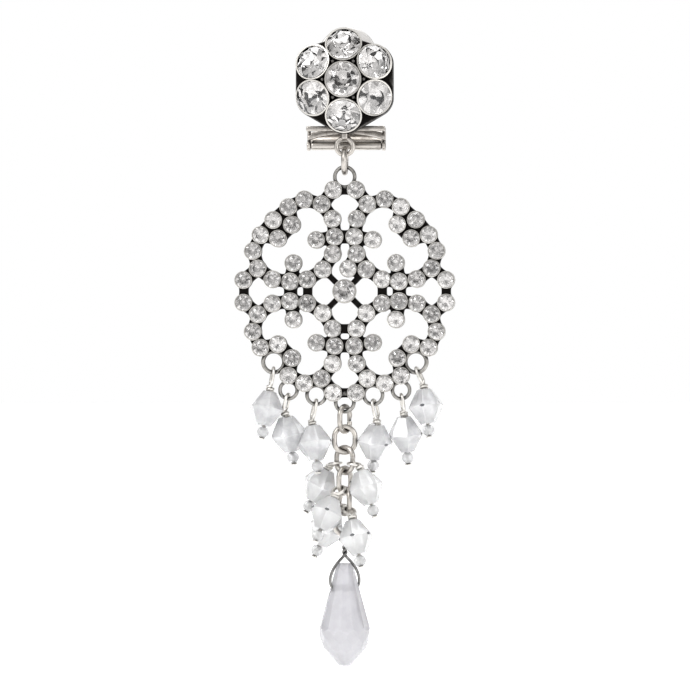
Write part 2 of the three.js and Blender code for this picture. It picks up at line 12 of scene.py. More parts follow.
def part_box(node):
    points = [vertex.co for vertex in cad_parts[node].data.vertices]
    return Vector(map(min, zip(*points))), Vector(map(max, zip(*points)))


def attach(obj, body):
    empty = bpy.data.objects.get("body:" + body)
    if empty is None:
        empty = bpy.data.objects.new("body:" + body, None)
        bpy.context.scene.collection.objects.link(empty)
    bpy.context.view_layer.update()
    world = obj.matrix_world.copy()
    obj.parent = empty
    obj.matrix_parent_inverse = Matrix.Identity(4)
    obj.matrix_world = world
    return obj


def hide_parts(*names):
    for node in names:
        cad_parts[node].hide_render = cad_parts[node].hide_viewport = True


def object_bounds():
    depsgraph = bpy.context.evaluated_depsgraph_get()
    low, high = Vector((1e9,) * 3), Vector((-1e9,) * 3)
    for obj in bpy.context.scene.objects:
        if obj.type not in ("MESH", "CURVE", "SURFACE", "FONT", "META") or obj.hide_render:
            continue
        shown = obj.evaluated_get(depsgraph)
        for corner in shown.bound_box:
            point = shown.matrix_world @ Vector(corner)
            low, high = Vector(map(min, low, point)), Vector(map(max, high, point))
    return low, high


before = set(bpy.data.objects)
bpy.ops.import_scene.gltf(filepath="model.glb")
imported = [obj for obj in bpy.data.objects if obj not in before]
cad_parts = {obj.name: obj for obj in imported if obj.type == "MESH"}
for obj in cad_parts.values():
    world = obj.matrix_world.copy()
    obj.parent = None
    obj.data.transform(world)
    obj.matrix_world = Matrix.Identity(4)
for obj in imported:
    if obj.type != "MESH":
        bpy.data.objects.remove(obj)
CAD_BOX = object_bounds()

bl_info = {
    "name": "Chandelier ear clip",
    "version": (1, 0, 0),
    "blender": (4, 5, 0),
    "location": "3D View > Sidebar > Ear clip",
    "description": "Dresses a chandelier ear clip's frame with its metal, stones, wires and crystal drops",
    "category": "Object",
}

# ------------------------------------------------------------------ units and directions

MM = 0.001  # shapes are made in millimetres, and scaled to the frame's metres as they are placed
X, Y, Z = Vector((1, 0, 0)), Vector((0, 1, 0)), Vector((0, 0, 1))
FRONT = -Y

# ------------------------------------------------------------------ the design's own chart

# One eighth of the medallion's pattern, in millimetres across and up from its middle. It is mirrored about
# the vertical, the horizontal and the diagonals. The last column says if the lower half has the cup too.
INNER_CORNER = 2.75
CELLS = [
    (1.43, 12.8, True),  # crest
    (2.89, 10.99, True),  # shoulder
    (5.08, 11.6, True),  # arch
    (7.11, 10.63, True),  # haunch
    (9.0, 9.0, False),  # corner, which has a loop in its place below
    (6.66, 8.42, True),  # curl
    (1.53, 9.12, True),  # end of the arm
    (1.24, 6.88, True),  # middle of the arm
    (1.51, 4.72, True),  # root of the arm
    (3.57, 6.48, True),  # bud
    (INNER_CORNER, INNER_CORNER, True),
]
STRAY_CELL = (0.45, 2.85)
MEDALLION_DEPTH = 0.6  # from its front to the plane that it hangs in
WEB_REACH = 2.6  # cups whose middles are within this are joined by a web
TIE_REACH = (2.8, 3.04)  # cups that face each other over an axis are this far apart, and joined by a tie

# The loops in the medallion's edge: across, up, radius of the hole, radius of the rim.
TOP_LOOP = (0, 14.42, 1.03, 1.5)
LOOPS = [
    TOP_LOOP,
    (-9.0, -8.9, 1.06, 1.6),
    (-7.11, -12.46, 0.85, 1.32),
    (-3.6, -13.07, 0.95, 1.42),
    (0, -14.03, 0.9, 1.4),
    (3.6, -13.07, 0.95, 1.42),
    (7.11, -12.46, 0.85, 1.32),
    (9.0, -8.9, 1.06, 1.6),
]

DROPS = [f"fringe_{i}" for i in range(1, 7)] + [f"tassel_{i}" for i in range(1, 6)]
CHAIN_LINKS = [f"chain_link_{i}" for i in range(1, 7)]

# A brilliant's facets, for a girdle of radius 1: how many, the turn of the first in steps, the distance
# from the axis and the height that each flat passes through, and its tilt from level, in degrees.
GIRDLE_HALF = 0.035
CROWN_TIERS = [
    (8, 0.0, 1.0, GIRDLE_HALF, 34.5),
    (16, 0.5, 1.0, GIRDLE_HALF, 40.5),
    (8, 0.5, 0.8, GIRDLE_HALF + 0.18, 23.8),
]
PAVILION_TIERS = [(8, 0.0, 1.0, -GIRDLE_HALF, 180 - 41.5)]
TABLE_HEIGHT = 0.345
CULET_DEPTH = -0.88

# The flats of a bicone bead's upper half, in the same way but in millimetres: large ones, then the small
# ones that take off the corners between them.
BICONE_TIERS = [(6, 0.5, 1.99, 0.1, 61), (6, 0.0, 2.2, 0.1, 64.5)]

# The teardrop's flats, in the same way, with the heights taken from the foot of the bail's twist.
TEARDROP_TIERS = [
    (6, 0.0, 0.7, -0.9, 60),
    (12, 0.5, 1.3, -2.2, 75),
    (12, 0.5, 3.2, -9.3, 89),
    (12, 0.0, 3.18, -9.4, 98),
    (12, 0.5, 3.08, -10.4, 112),
    (12, 0.0, 2.3, -12.0, 132),
    (6, 0.5, 0.7, -13.72, 150),
]

# No two of the cluster's stones sit alike in their cups: each one's turn about its axis, its lean, and
# the way that it leans, in degrees. These numbers weren't chosen by hand: they are rounded from the trials
# of a scratch script's chance search, scored or picked against the photograph.
CLUSTER_SETTLING = {
    "cluster_stone_middle": (36, 2, 60),
    "cluster_stone_1": (40, 7, 110),
    "cluster_stone_2": (18, 6, 55),
    "cluster_stone_3": (12, 7, 240),
    "cluster_stone_4": (33, 3, 70),
    "cluster_stone_5": (3, 4, 255),
    "cluster_stone_6": (18, 7, 70),
}


# ------------------------------------------------------------------ settings a user would change


def linear(hex_colour):
    """An sRGB hex value as linear red, green and blue."""
    channels = [(hex_colour >> shift & 255) / 255 for shift in (16, 8, 0)]
    return [c / 12.92 if c <= 0.04045 else ((c + 0.055) / 1.055) ** 2.4 for c in channels]


def colour_setting(name, description, hex_colour):
    """A colour that can be changed in the sidebar."""
    return FloatVectorProperty(
        name=name, description=description, subtype="COLOR", size=3, min=0, max=1, default=linear(hex_colour)
    )


def size_setting(name, description, millimetres):
    """A size in millimetres that can be changed in the sidebar."""
    return FloatProperty(name=name, description=description, default=millimetres, min=0.01, precision=3)


class EarClipMetals(PropertyGroup):
    """Colours of the metals."""

    silver: colour_setting("Silver", "Rubbed silver plate on the castings", 0xC8C5C0)
    patina: colour_setting("Patina", "Blackened silver in the recesses", 0x1B1918)
    wire: colour_setting("Wire", "Silver plate of the rings, links and clip", 0xBDB8B2)
    satin: colour_setting("Satin", "Satin silver plate of the lever's pad", 0xDAD8D6)
    pin: colour_setting("Pin", "Silver plate of the drops' wires", 0xDCD9D4)
    bail: colour_setting("Bail", "Darkened wire of the teardrop's bail", 0x8C8B89)


class EarClipStones(PropertyGroup):
    """Sizes and colours of the stones."""

    cluster_girdle: size_setting("Cluster stone", "Radius of a cluster stone's girdle, mm", 2.12)
    paved_girdle: size_setting("Paved stone", "Radius of a small stone's girdle, mm", 1.0)
    middle_girdle: size_setting("Middle stone", "Radius of the medallion's middle stone, mm", 1.36)
    tilt: FloatProperty(
        name="Tilt", description="How far a small stone may sit off level", default=radians(7),
        subtype="ANGLE",
    )
    seed: IntProperty(name="Seed", description="Picks the small stones' chance tilts", default=11, min=0)
    ior: FloatProperty(name="Crystal IOR", description="Refractive index of cut lead crystal", default=1.56)
    crystal: colour_setting("Crystal", "Tint of the cluster's clear crystal", 0xF9F8F8)
    small_crystal: colour_setting("Small crystal", "Tint of the medallion's crystal", 0xF0EFEF)
    opal: colour_setting("Opal", "Tint of the small drops' faintly milky crystal", 0xF2F2F4)
    pale_opal: colour_setting("Pale opal", "Tint of the tassel's clearer drops", 0xFAFAFB)
    milk: colour_setting("Milk", "Tint of the teardrop's milky crystal", 0xD3D2D6)
    # Painted reflection: the dark spots on a drop's ground corners stand in for reflections of dark
    # surroundings.
    smoked: colour_setting("Smoked", "Dark spots where a drop's corners are ground", 0x55555A)
    foil: colour_setting("Foil", "Silver foil behind a stone", 0xEBEAE9)


class EarClipStage(PropertyGroup):
    """Camera, floor and light."""

    azimuth: FloatProperty(
        name="Azimuth", description="The camera's turn to the right", default=radians(4), subtype="ANGLE"
    )
    lens: FloatProperty(name="Lens", description="Focal length, mm", default=200, subtype="DISTANCE_CAMERA")
    frame_share: FloatProperty(
        name="Frame share", description="Part of the frame's height that it fills", default=0.93,
        subtype="FACTOR",
    )
    floor: colour_setting("Floor", "Matt white paper", 0xF4F4F4)


def metals():
    return bpy.context.scene.ear_clip_metals


def stones():
    return bpy.context.scene.ear_clip_stones


# ------------------------------------------------------------------ reading the frame


def points_of(node):
    """The corners of a CAD node's mesh, in millimetres."""
    return [v.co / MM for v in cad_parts[node].data.vertices]


def box_of(node):
    """The lowest and the highest corner of a CAD node, in millimetres."""
    low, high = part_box(node)
    return low / MM, high / MM


def middle_of(node):
    low, high = box_of(node)
    return (low + high) / 2


def spread(points):
    """The middle of some points, and the directions that they spread in, widest first."""
    at = np.array([tuple(p) for p in points])
    centre = at.mean(0)
    directions = np.linalg.eigh(np.cov((at - centre).T))[1]
    return Vector(centre), [Vector(direction) for direction in directions.T[::-1]]


def standing(place, up, side):
    """A matrix that stands a shape's z axis along `up` at a place, with its x axis towards `side`."""
    z = up.normalized()
    x = (side - side.dot(z) * z).normalized()
    turn = Matrix((x, z.cross(x), z)).transposed().to_4x4()
    return Matrix.Translation(place) @ turn


# ------------------------------------------------------------------ making shapes


def mesh_from(bm, name="shape"):
    """Turns a bmesh into a mesh and frees it."""
    mesh = bpy.data.meshes.new(name)
    bm.to_mesh(mesh)
    bm.free()
    return mesh


def stamp(bm, shape, matrix=Matrix.Identity(4)):
    """Adds a copy of a mesh to a bmesh, placed by a matrix."""
    copy = shape.copy()
    copy.transform(matrix)
    bm.from_mesh(copy)
    bpy.data.meshes.remove(copy)


def placed(bm, matrix):
    """Moves a whole shape by a matrix, and returns it."""
    bmesh.ops.transform(bm, matrix=matrix, verts=bm.verts)
    return bm


def tidied(bm):
    """Merges doubled corners and points the faces outwards."""
    bmesh.ops.remove_doubles(bm, verts=bm.verts, dist=1e-4)
    bmesh.ops.recalc_face_normals(bm, faces=bm.faces)
    return bm


def spun(bm, geometry, steps, angle=2 * pi):
    """Spins a section about the z axis, all the way round or through an angle."""
    bmesh.ops.spin(
        bm, geom=geometry, cent=(0, 0, 0), axis=Z, angle=angle, steps=steps, use_merge=angle == 2 * pi
    )
    return bm


def close_holes(bm):
    """Puts a face on every open end."""
    bmesh.ops.holes_fill(bm, edges=[edge for edge in bm.edges if edge.is_boundary])


def turned(profile, steps):
    """A shape turned about the z axis, from (radius, z) pairs that start and end on the axis."""
    bm = bmesh.new()
    corners = [bm.verts.new((radius, 0, z)) for radius, z in profile]
    edges = [bm.edges.new(pair) for pair in zip(corners, corners[1:])]
    return tidied(spun(bm, corners + edges, steps))


def wire_ring(radius, wire, steps=56, sides=12, cut=0.0):
    """A round wire ring about the z axis, with the hairline cut of a jump ring if one is given."""
    bm = bmesh.new()
    section = bmesh.ops.create_circle(bm, segments=sides, radius=wire / 2)["verts"]
    stand = Matrix.Translation((radius, 0, 0)) @ Matrix.Rotation(pi / 2, 4, "X")
    bmesh.ops.transform(bm, matrix=stand, verts=section)
    spun(bm, bm.verts[:] + bm.edges[:], steps, 2 * pi - cut / radius)
    close_holes(bm)
    return tidied(bm)


def rod(radius, start, end, steps=32):
    """A round rod along the z axis."""
    return turned([(0, start), (radius, start), (radius, end), (0, end)], steps)


def block(x, y, z, round_edges=0.0):
    """A box between two places on each axis, with its edges rounded if a radius is given."""
    bm = bmesh.new()
    bmesh.ops.create_cube(bm, size=1)
    bmesh.ops.scale(bm, vec=(x[1] - x[0], y[1] - y[0], z[1] - z[0]), verts=bm.verts)
    bmesh.ops.translate(bm, vec=((x[0] + x[1]) / 2, (y[0] + y[1]) / 2, (z[0] + z[1]) / 2), verts=bm.verts)
    if round_edges:
        rounded(bm, bm.edges, round_edges)
    return bm


def rounded(bm, edges, radius, segments=3):
    """Rounds some edges."""
    bmesh.ops.bevel(
        bm, geom=list(edges), offset=radius, offset_type="OFFSET", segments=segments, profile=0.5,
        affect="EDGES", clamp_overlap=True, material=-1,
    )


def sharp_edges(bm):
    """The edges where two faces meet at a corner."""
    return [edge for edge in bm.edges if edge.calc_face_angle(0) > radians(40)]


def thickened(bm, height):
    """Gives a flat or bent face a thickness, straight up."""
    raised = bmesh.ops.extrude_face_region(bm, geom=bm.faces[:])["geom"]
    top = [piece for piece in raised if isinstance(piece, bmesh.types.BMVert)]
    bmesh.ops.translate(bm, vec=(0, 0, height), verts=top)
    return bm


def bent_wire(points, radius, sides=2):
    """A round wire along a smooth curve through a few points near it, with closed ends."""
    curve = bpy.data.curves.new("wire", "CURVE")
    curve.dimensions = "3D"
    curve.bevel_depth = radius
    curve.bevel_resolution = sides
    curve.use_fill_caps = True
    curve.resolution_u = 3
    spline = curve.splines.new("NURBS")
    spline.points.add(len(points) - 1)
    for knot, point in zip(spline.points, points):
        knot.co = (*point, 1)
    spline.order_u = 4
    spline.use_endpoint_u = True
    holder = bpy.data.objects.new("wire", curve)
    bm = bmesh.new()
    bm.from_mesh(holder.to_mesh())
    bpy.data.objects.remove(holder)
    return tidied(bm)


def through_modifier(bm, kind, settings):
    """What a modifier makes of a bmesh."""
    holder = bpy.data.objects.new("holder", mesh_from(bm))
    bpy.context.scene.collection.objects.link(holder)
    modifier = holder.modifiers.new(kind, kind)
    for name, value in settings.items():
        setattr(modifier, name, value)
    made = bmesh.new()
    made.from_object(holder, bpy.context.evaluated_depsgraph_get())
    bpy.data.objects.remove(holder)
    return made


def fused(bm, voxel, smoothing):
    """One skin round everything in a bmesh, with its inner corners filled as in cast or soldered metal."""
    skin = through_modifier(bm, "REMESH", {"mode": "VOXEL", "voxel_size": voxel})
    for _ in range(smoothing):
        bmesh.ops.smooth_vert(
            skin, verts=skin.verts, factor=0.5, use_axis_x=True, use_axis_y=True, use_axis_z=True
        )
    return skin


def mark(bm, slot, chosen):
    """Puts the faces that a test picks in a material slot, and leaves the others in slot 0."""
    bm.normal_update()
    for face in bm.faces:
        face.material_index = slot if chosen(face) else 0


def faces_back(face):
    """Whether a face is on a casting's flat back, which the cloth reaches."""
    return face.normal.y > 0.8


def bored(bm, tool):
    """Cuts a tool's shape out of a bmesh."""
    cutter = bpy.data.objects.new("cutter", mesh_from(tool))
    bpy.context.scene.collection.objects.link(cutter)
    made = through_modifier(bm, "BOOLEAN", {"operation": "DIFFERENCE", "solver": "EXACT", "object": cutter})
    bpy.data.objects.remove(cutter)
    return made


def cut_away(bm, place, out):
    """Cuts off what lies beyond a plane, and returns the edges of the cut."""
    cut = bmesh.ops.bisect_plane(
        bm, geom=bm.verts[:] + bm.edges[:] + bm.faces[:], dist=1e-5, plane_co=place, plane_no=out,
        clear_outer=True,
    )
    return [piece for piece in cut["geom_cut"] if isinstance(piece, bmesh.types.BMEdge)]


def facet(bm, out, height, tilt):
    """Grinds one flat on a stone: through `out` at a height, tilted from level."""
    rim = cut_away(bm, out + Z * height, out.normalized() * sin(tilt) + Z * cos(tilt))
    if rim:
        bmesh.ops.contextual_create(bm, geom=rim)


def facet_tiers(bm, tiers, scale=1.0):
    """Grinds rows of flats round a stone, from rows of (count, first turn, reach, height, tilt)."""
    for count, first, reach, height, tilt in tiers:
        for i in range(count):
            turn = 2 * pi * (i + first) / count
            out = Vector((cos(turn), sin(turn), 0)) * reach * scale
            facet(bm, out, height * scale, radians(tilt))


def smooth(mesh, angle):
    """Shades a mesh smooth, apart from the edges sharper than an angle."""
    mesh.shade_smooth()
    mesh.set_sharp_from_angle(angle=radians(angle))


def add_piece(bm, name, body, nodes, materials, smooth_to=None):
    """Places a finished shape on its body, in place of its CAD nodes."""
    mesh = mesh_from(bm, name)
    mesh.transform(Matrix.Scale(MM, 4))
    for material in materials:
        mesh.materials.append(material)
    if smooth_to:
        smooth(mesh, smooth_to)
    piece = bpy.data.objects.new(name, mesh)
    bpy.context.scene.collection.objects.link(piece)
    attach(piece, body)
    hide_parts(*nodes)
    return piece


# ------------------------------------------------------------------ materials


def per_mm(size):
    """The scale that gives a pattern on Object coordinates features of a size in millimetres."""
    return 1 / (size * MM)


def add_node(tree, kind, values=None, links=None, stops=None, **settings):
    """Adds a node with its settings, input values, incoming links and colour stops."""
    node = tree.nodes.new(kind)
    for name, value in settings.items():
        setattr(node, name, value)
    for socket, value in (values or {}).items():
        node.inputs[socket].default_value = value
    for socket, source in (links or {}).items():
        tree.links.new(source, node.inputs[socket])
    if stops:
        elements = node.color_ramp.elements
        for _ in stops[2:]:
            elements.new(0.5)
        for element, (position, colour) in zip(elements, stops):
            element.position = position
            element.color = (*colour, 1)
    return node


def new_material(name):
    """An empty material, and its node tree with an output."""
    material = bpy.data.materials.new(name)
    material.use_nodes = True
    tree = material.node_tree
    tree.nodes.clear()
    return material, tree


def patinated_silver(name, silver, patina, rub, edge_rub, crevice, grain, mottle):
    """Silver-plated white metal, blackened in a bath and rubbed back with a cloth.

    The eye sees near-black seams and hollows, bright silver along the edges that the cloth reaches, and a
    mottled grey between, over a fine grain. `rub` and `edge_rub` are how far open faces and edges are
    rubbed back, from 0 to 1, and `mottle` how uneven the cloth leaves them. `crevice` is how wide a gap
    must be to be cleaned and `grain` the casting's grain, in millimetres. The grain is drawn two or three
    times as coarse as the real one, so that it shows.
    """
    material, tree = new_material(name)
    place = add_node(tree, "ShaderNodeTexCoord").outputs["Object"]
    sharpness = add_node(tree, "ShaderNodeNewGeometry").outputs["Pointiness"]
    openness = add_node(
        tree, "ShaderNodeAmbientOcclusion", {"Distance": crevice * MM}, samples=12
    ).outputs["AO"]
    cloud = add_node(
        tree, "ShaderNodeTexNoise", {"Scale": per_mm(1.2), "Detail": 5, "Roughness": 0.65}, {"Vector": place}
    ).outputs["Fac"]
    speck = add_node(
        tree, "ShaderNodeTexNoise", {"Scale": per_mm(grain), "Detail": 2}, {"Vector": place}
    ).outputs["Fac"]
    edge = add_node(
        tree, "ShaderNodeMapRange", {"From Min": 0.51, "From Max": 0.57, "To Min": rub, "To Max": edge_rub},
        {"Value": sharpness},
    ).outputs["Result"]
    worn = add_node(
        tree, "ShaderNodeMath", {1: mottle}, {0: cloud, 2: edge}, operation="MULTIPLY_ADD"
    ).outputs[0]
    mask = add_node(tree, "ShaderNodeMath", links={0: worn, 1: openness}, operation="MULTIPLY").outputs[0]
    half = [0.45 * a + 0.55 * b for a, b in zip(silver, patina)]
    colour = add_node(
        tree, "ShaderNodeValToRGB", links={"Fac": mask},
        stops=[(0.42, patina), (0.72, half), (1.0, silver)],
    ).outputs["Color"]
    roughness = add_node(
        tree, "ShaderNodeMapRange", {"From Min": 0.4, "From Max": 1.1, "To Min": 0.5, "To Max": 0.29},
        {"Value": mask},
    ).outputs["Result"]
    bump = add_node(
        tree, "ShaderNodeBump", {"Strength": 0.25, "Distance": 0.02 * MM}, {"Height": speck}
    ).outputs["Normal"]
    shader = add_node(
        tree, "ShaderNodeBsdfPrincipled", {"Metallic": 1.0},
        {"Base Color": colour, "Roughness": roughness, "Normal": bump},
    )
    add_node(tree, "ShaderNodeOutputMaterial", links={"Surface": shader.outputs[0]})
    return material


def plated_wire(name, colour, shade, roughness, tarnish, crevice):
    """Brass wire or sheet, drawn or stamped, then plated with silver.

    The eye sees a bright metal with soft darker clouds where the plate has tarnished, dull seams where
    two pieces meet, painted shade where other parts come near it, and a faint unevenness left by the die,
    drawn coarser than the real one so that it shows. `tarnish` is how much is clouded, below nothing where
    it's kept clean, and `crevice` how wide a gap must be to stay bright, in millimetres: narrower gaps get
    the seams' tarnish and the painted shade.
    """
    material, tree = new_material(name)
    place = add_node(tree, "ShaderNodeTexCoord").outputs["Object"]
    # Ambient occlusion darkens the metal wherever another surface lies within `crevice`: tarnish in tight
    # seams, painted shade in wider gaps such as the clip's slits.
    openness = add_node(
        tree, "ShaderNodeAmbientOcclusion", {"Distance": crevice * MM}, samples=12
    ).outputs["AO"]
    cloud = add_node(
        tree, "ShaderNodeTexNoise", {"Scale": per_mm(1.1), "Detail": 5, "Roughness": 0.65}, {"Vector": place}
    ).outputs["Fac"]
    clean = add_node(
        tree, "ShaderNodeMapRange",
        {"From Min": 0.28 + 0.3 * tarnish, "From Max": 0.5 + 0.3 * tarnish, "To Min": 0.55, "To Max": 1.0},
        {"Value": cloud},
    ).outputs["Result"]
    mask = add_node(tree, "ShaderNodeMath", links={0: clean, 1: openness}, operation="MULTIPLY").outputs[0]
    base = add_node(
        tree, "ShaderNodeValToRGB", links={"Fac": mask}, stops=[(0.15, shade), (0.85, colour)]
    ).outputs["Color"]
    rough = add_node(
        tree, "ShaderNodeMapRange", {"To Min": roughness + 0.25, "To Max": roughness}, {"Value": mask}
    ).outputs["Result"]
    scratch = add_node(
        tree, "ShaderNodeTexNoise", {"Scale": per_mm(0.25), "Detail": 3}, {"Vector": place}
    ).outputs["Fac"]
    bump = add_node(
        tree, "ShaderNodeBump", {"Strength": 0.12, "Distance": 0.01 * MM}, {"Height": scratch}
    ).outputs["Normal"]
    shader = add_node(
        tree, "ShaderNodeBsdfPrincipled", {"Metallic": 1.0},
        {"Base Color": base, "Roughness": rough, "Normal": bump},
    )
    add_node(tree, "ShaderNodeOutputMaterial", links={"Surface": shader.outputs[0]})
    return material


def cut_crystal(name, tint, ior, clearness, polish, cloud):
    """Lead crystal, ground into flats and polished.

    The eye sees glass that throws back bright and dark wedges, with a faint haze of polishing marks and
    soft clouds from the melt. `clearness` is the share of light that goes through instead of being
    scattered as in opal glass, `polish` the roughness of its ground faces under their last bright
    polish, and `cloud` how much darker its clouds are.
    """
    material, tree = new_material(name)
    place = add_node(tree, "ShaderNodeTexCoord").outputs["Object"]
    marks = add_node(
        tree, "ShaderNodeTexNoise", {"Scale": per_mm(0.9), "Detail": 3}, {"Vector": place}
    ).outputs["Fac"]
    rough = add_node(
        tree, "ShaderNodeMapRange",
        {"From Min": 0.35, "From Max": 0.7, "To Min": 0.8 * polish, "To Max": 1.15 * polish},
        {"Value": marks},
    ).outputs["Result"]
    melt = add_node(
        tree, "ShaderNodeTexNoise", {"Scale": per_mm(1.3), "Detail": 4, "Roughness": 0.6}, {"Vector": place}
    ).outputs["Fac"]
    base = add_node(
        tree, "ShaderNodeValToRGB", links={"Fac": melt},
        stops=[(0.38, [channel * (1 - cloud) for channel in tint]), (0.56, tint)],
    ).outputs["Color"]
    shader = add_node(
        tree, "ShaderNodeBsdfPrincipled",
        {
            "IOR": ior, "Transmission Weight": clearness, "Coat Weight": 0.45, "Coat Roughness": 0.02,
            "Coat IOR": ior, "Subsurface Weight": 1.0, "Subsurface Scale": 2 * MM,
            "Subsurface Radius": (1, 1, 1),
        },
        {"Base Color": base, "Roughness": rough},
    )
    add_node(tree, "ShaderNodeOutputMaterial", links={"Surface": shader.outputs[0]})
    return material


def mirror_foil(name, colour, haze):
    """Silver foil behind a stone, deposited on the glass.

    The eye sees it only through the stone, as a mirror with dull clouds. `haze` is its roughness.
    """
    material, tree = new_material(name)
    place = add_node(tree, "ShaderNodeTexCoord").outputs["Object"]
    cloud = add_node(
        tree, "ShaderNodeTexNoise", {"Scale": per_mm(0.8), "Detail": 4}, {"Vector": place}
    ).outputs["Fac"]
    dull = [channel * 0.72 for channel in colour]
    base = add_node(
        tree, "ShaderNodeValToRGB", links={"Fac": cloud}, stops=[(0.3, dull), (0.55, colour)]
    ).outputs["Color"]
    shader = add_node(
        tree, "ShaderNodeBsdfPrincipled", {"Metallic": 1.0, "Roughness": haze}, {"Base Color": base}
    )
    add_node(tree, "ShaderNodeOutputMaterial", links={"Surface": shader.outputs[0]})
    return material


def matt_paper(name, colour):
    """White studio paper.

    The eye sees an even matt white with a faint tooth.
    """
    material, tree = new_material(name)
    place = add_node(tree, "ShaderNodeTexCoord").outputs["Object"]
    tooth = add_node(
        tree, "ShaderNodeTexNoise", {"Scale": per_mm(2.0), "Detail": 3}, {"Vector": place}
    ).outputs["Fac"]
    faint = [channel * 0.97 for channel in colour]
    base = add_node(
        tree, "ShaderNodeValToRGB", links={"Fac": tooth}, stops=[(0.3, faint), (0.7, colour)]
    ).outputs["Color"]
    shader = add_node(
        tree, "ShaderNodeBsdfPrincipled",
        {"Roughness": 0.9, "Emission Color": (1, 1, 1, 1), "Emission Strength": 0.5}, {"Base Color": base},
    )
    add_node(tree, "ShaderNodeOutputMaterial", links={"Surface": shader.outputs[0]})
    return material


def shared(make, name, *settings):
    """The material of a name, made the first time that it is asked for."""
    return bpy.data.materials.get(name) or make(name, *settings)


def cast_silver(name, rub, edge_rub, crevice, grain=0.08, mottle=0.7):
    """A casting's plate in one state of rubbing."""
    colours = list(metals().silver), list(metals().patina)
    return shared(patinated_silver, name, *colours, rub, edge_rub, crevice, grain, mottle)


def casting():
    """The plates' fronts and sides: near black in the hollows, dark grey where a finger reaches."""
    return cast_silver(
        "oxidised_cast_silver_plate", rub=0.26, edge_rub=0.45, crevice=0.9, grain=0.12, mottle=0.3
    )


def rubbed_back():
    """The plates' flat backs: an even mid grey with soft clouds."""
    return cast_silver(
        "rubbed_back_of_cast_silver_plate", rub=0.4, edge_rub=0.6, crevice=0.9, grain=0.12, mottle=0.45
    )


def rims():
    """The cluster's cups: bright lips, darker down their walls."""
    return cast_silver("rubbed_cast_silver_plate", rub=0.45, edge_rub=0.72, crevice=0.35)


def shaded_rims():
    """The medallion's small cups: thin grey lips with dark seams between them."""
    return cast_silver("half_rubbed_cast_silver_plate", rub=0.34, edge_rub=0.6, crevice=0.45)


def loop_metal():
    """The loops in the medallion's edge: dark grey, a little brighter along their crowns."""
    return cast_silver("dark_cast_silver_plate", rub=0.26, edge_rub=0.5, crevice=0.5)


def plated(name, colour, shade, roughness, tarnish, crevice):
    """Plated brass in one of the metals' colours, with the colour of its tarnish and of its painted shade."""
    colours = list(getattr(metals(), colour)), linear(shade)
    return shared(plated_wire, name, *colours, roughness, tarnish, crevice)


def ring_wire():
    """The rings and links: bright, with dark brown where two of them touch."""
    return plated("silver_plated_drawn_wire", "wire", 0x3E3A37, roughness=0.29, tarnish=0.25, crevice=0.5)


def stamped():
    """The clip's bar, foot and spring: bright, clouded a little with warm grey, with painted shade near other
    parts.
    """
    return plated("silver_plated_stamped_brass", "wire", 0x544D48, roughness=0.3, tarnish=0.2, crevice=1.2)


def clean_arm():
    """The clip's plate and arm, which every wearing polishes: an even soft sheen, with painted shade near
    other parts.
    """
    return plated("clean_silver_plated_brass", "wire", 0x544D48, roughness=0.34, tarnish=-0.4, crevice=1.2)


def satin():
    """The lever's pad: pale and satin, with no clouds."""
    return plated("satin_silver_plated_brass", "satin", 0x8C8885, roughness=0.5, tarnish=-0.5, crevice=0.5)


def pin_wire():
    """The drops' soft wires: pale, with warm grey between the turns of their wraps."""
    return plated("silver_plated_soft_wire", "pin", 0x7E7A72, roughness=0.29, tarnish=0.15, crevice=0.35)


def bail_wire():
    """The teardrop's bail: grey, and nearly black in its twist."""
    return plated("darkened_twisted_wire", "bail", 0x2A292B, roughness=0.3, tarnish=0.55, crevice=0.3)


def cut_glass(name, tint, clearness, polish, cloud):
    """Crystal in one of the stones' tints."""
    return shared(cut_crystal, name, list(getattr(stones(), tint)), stones().ior, clearness, polish, cloud)


def crystal():
    """The cluster's stones: quite clear, with sharp bright and dark wedges."""
    return cut_glass("cut_clear_lead_crystal", "crystal", clearness=1.0, polish=0.02, cloud=0.03)


def small_crystal():
    """The medallion's stones: clear, and a little softer, as a machine cuts them by the thousand."""
    return cut_glass("machine_cut_small_crystal", "small_crystal", clearness=1.0, polish=0.06, cloud=0.05)


def opal():
    """The fringe's drops: pale and faintly milky, with clouds."""
    return cut_glass("cut_pale_opal_crystal", "opal", clearness=0.57, polish=0.21, cloud=0.2)


def pale_opal():
    """The tassel's drops: as the fringe's, but clearer and whiter."""
    return cut_glass("cut_clearer_opal_crystal", "pale_opal", clearness=0.6, polish=0.2, cloud=0.1)


def milky():
    """The teardrop: even and milky, with soft edges to its flats."""
    return cut_glass("cut_milky_crystal", "milk", clearness=0.42, polish=0.2, cloud=0.06)


def smoked():
    """A drop's ground corners: small dull dark spots, painted in as dark reflections."""
    return cut_glass("smoked_ground_crystal", "smoked", clearness=0.3, polish=0.23, cloud=0.2)


def foil():
    """Behind the cluster's stones: a clean mirror."""
    return shared(mirror_foil, "silver_foil_backing", list(stones().foil), 0.05)


def small_foil():
    """Behind the medallion's stones: a mirror dulled by lacquer."""
    return shared(mirror_foil, "dull_silver_foil_backing", list(stones().foil), 0.13)


# ------------------------------------------------------------------ stones and cups


def brilliant(radius):
    """A foil-backed brilliant, its girdle at z = 0 and its table towards +z. Slot 1 is the foiled back."""
    bm = rod(radius, CULET_DEPTH * radius, TABLE_HEIGHT * radius)
    facet_tiers(bm, CROWN_TIERS + PAVILION_TIERS, radius)
    mark(bm, 1, lambda face: face.normal.z < -0.1)
    return tidied(bm)


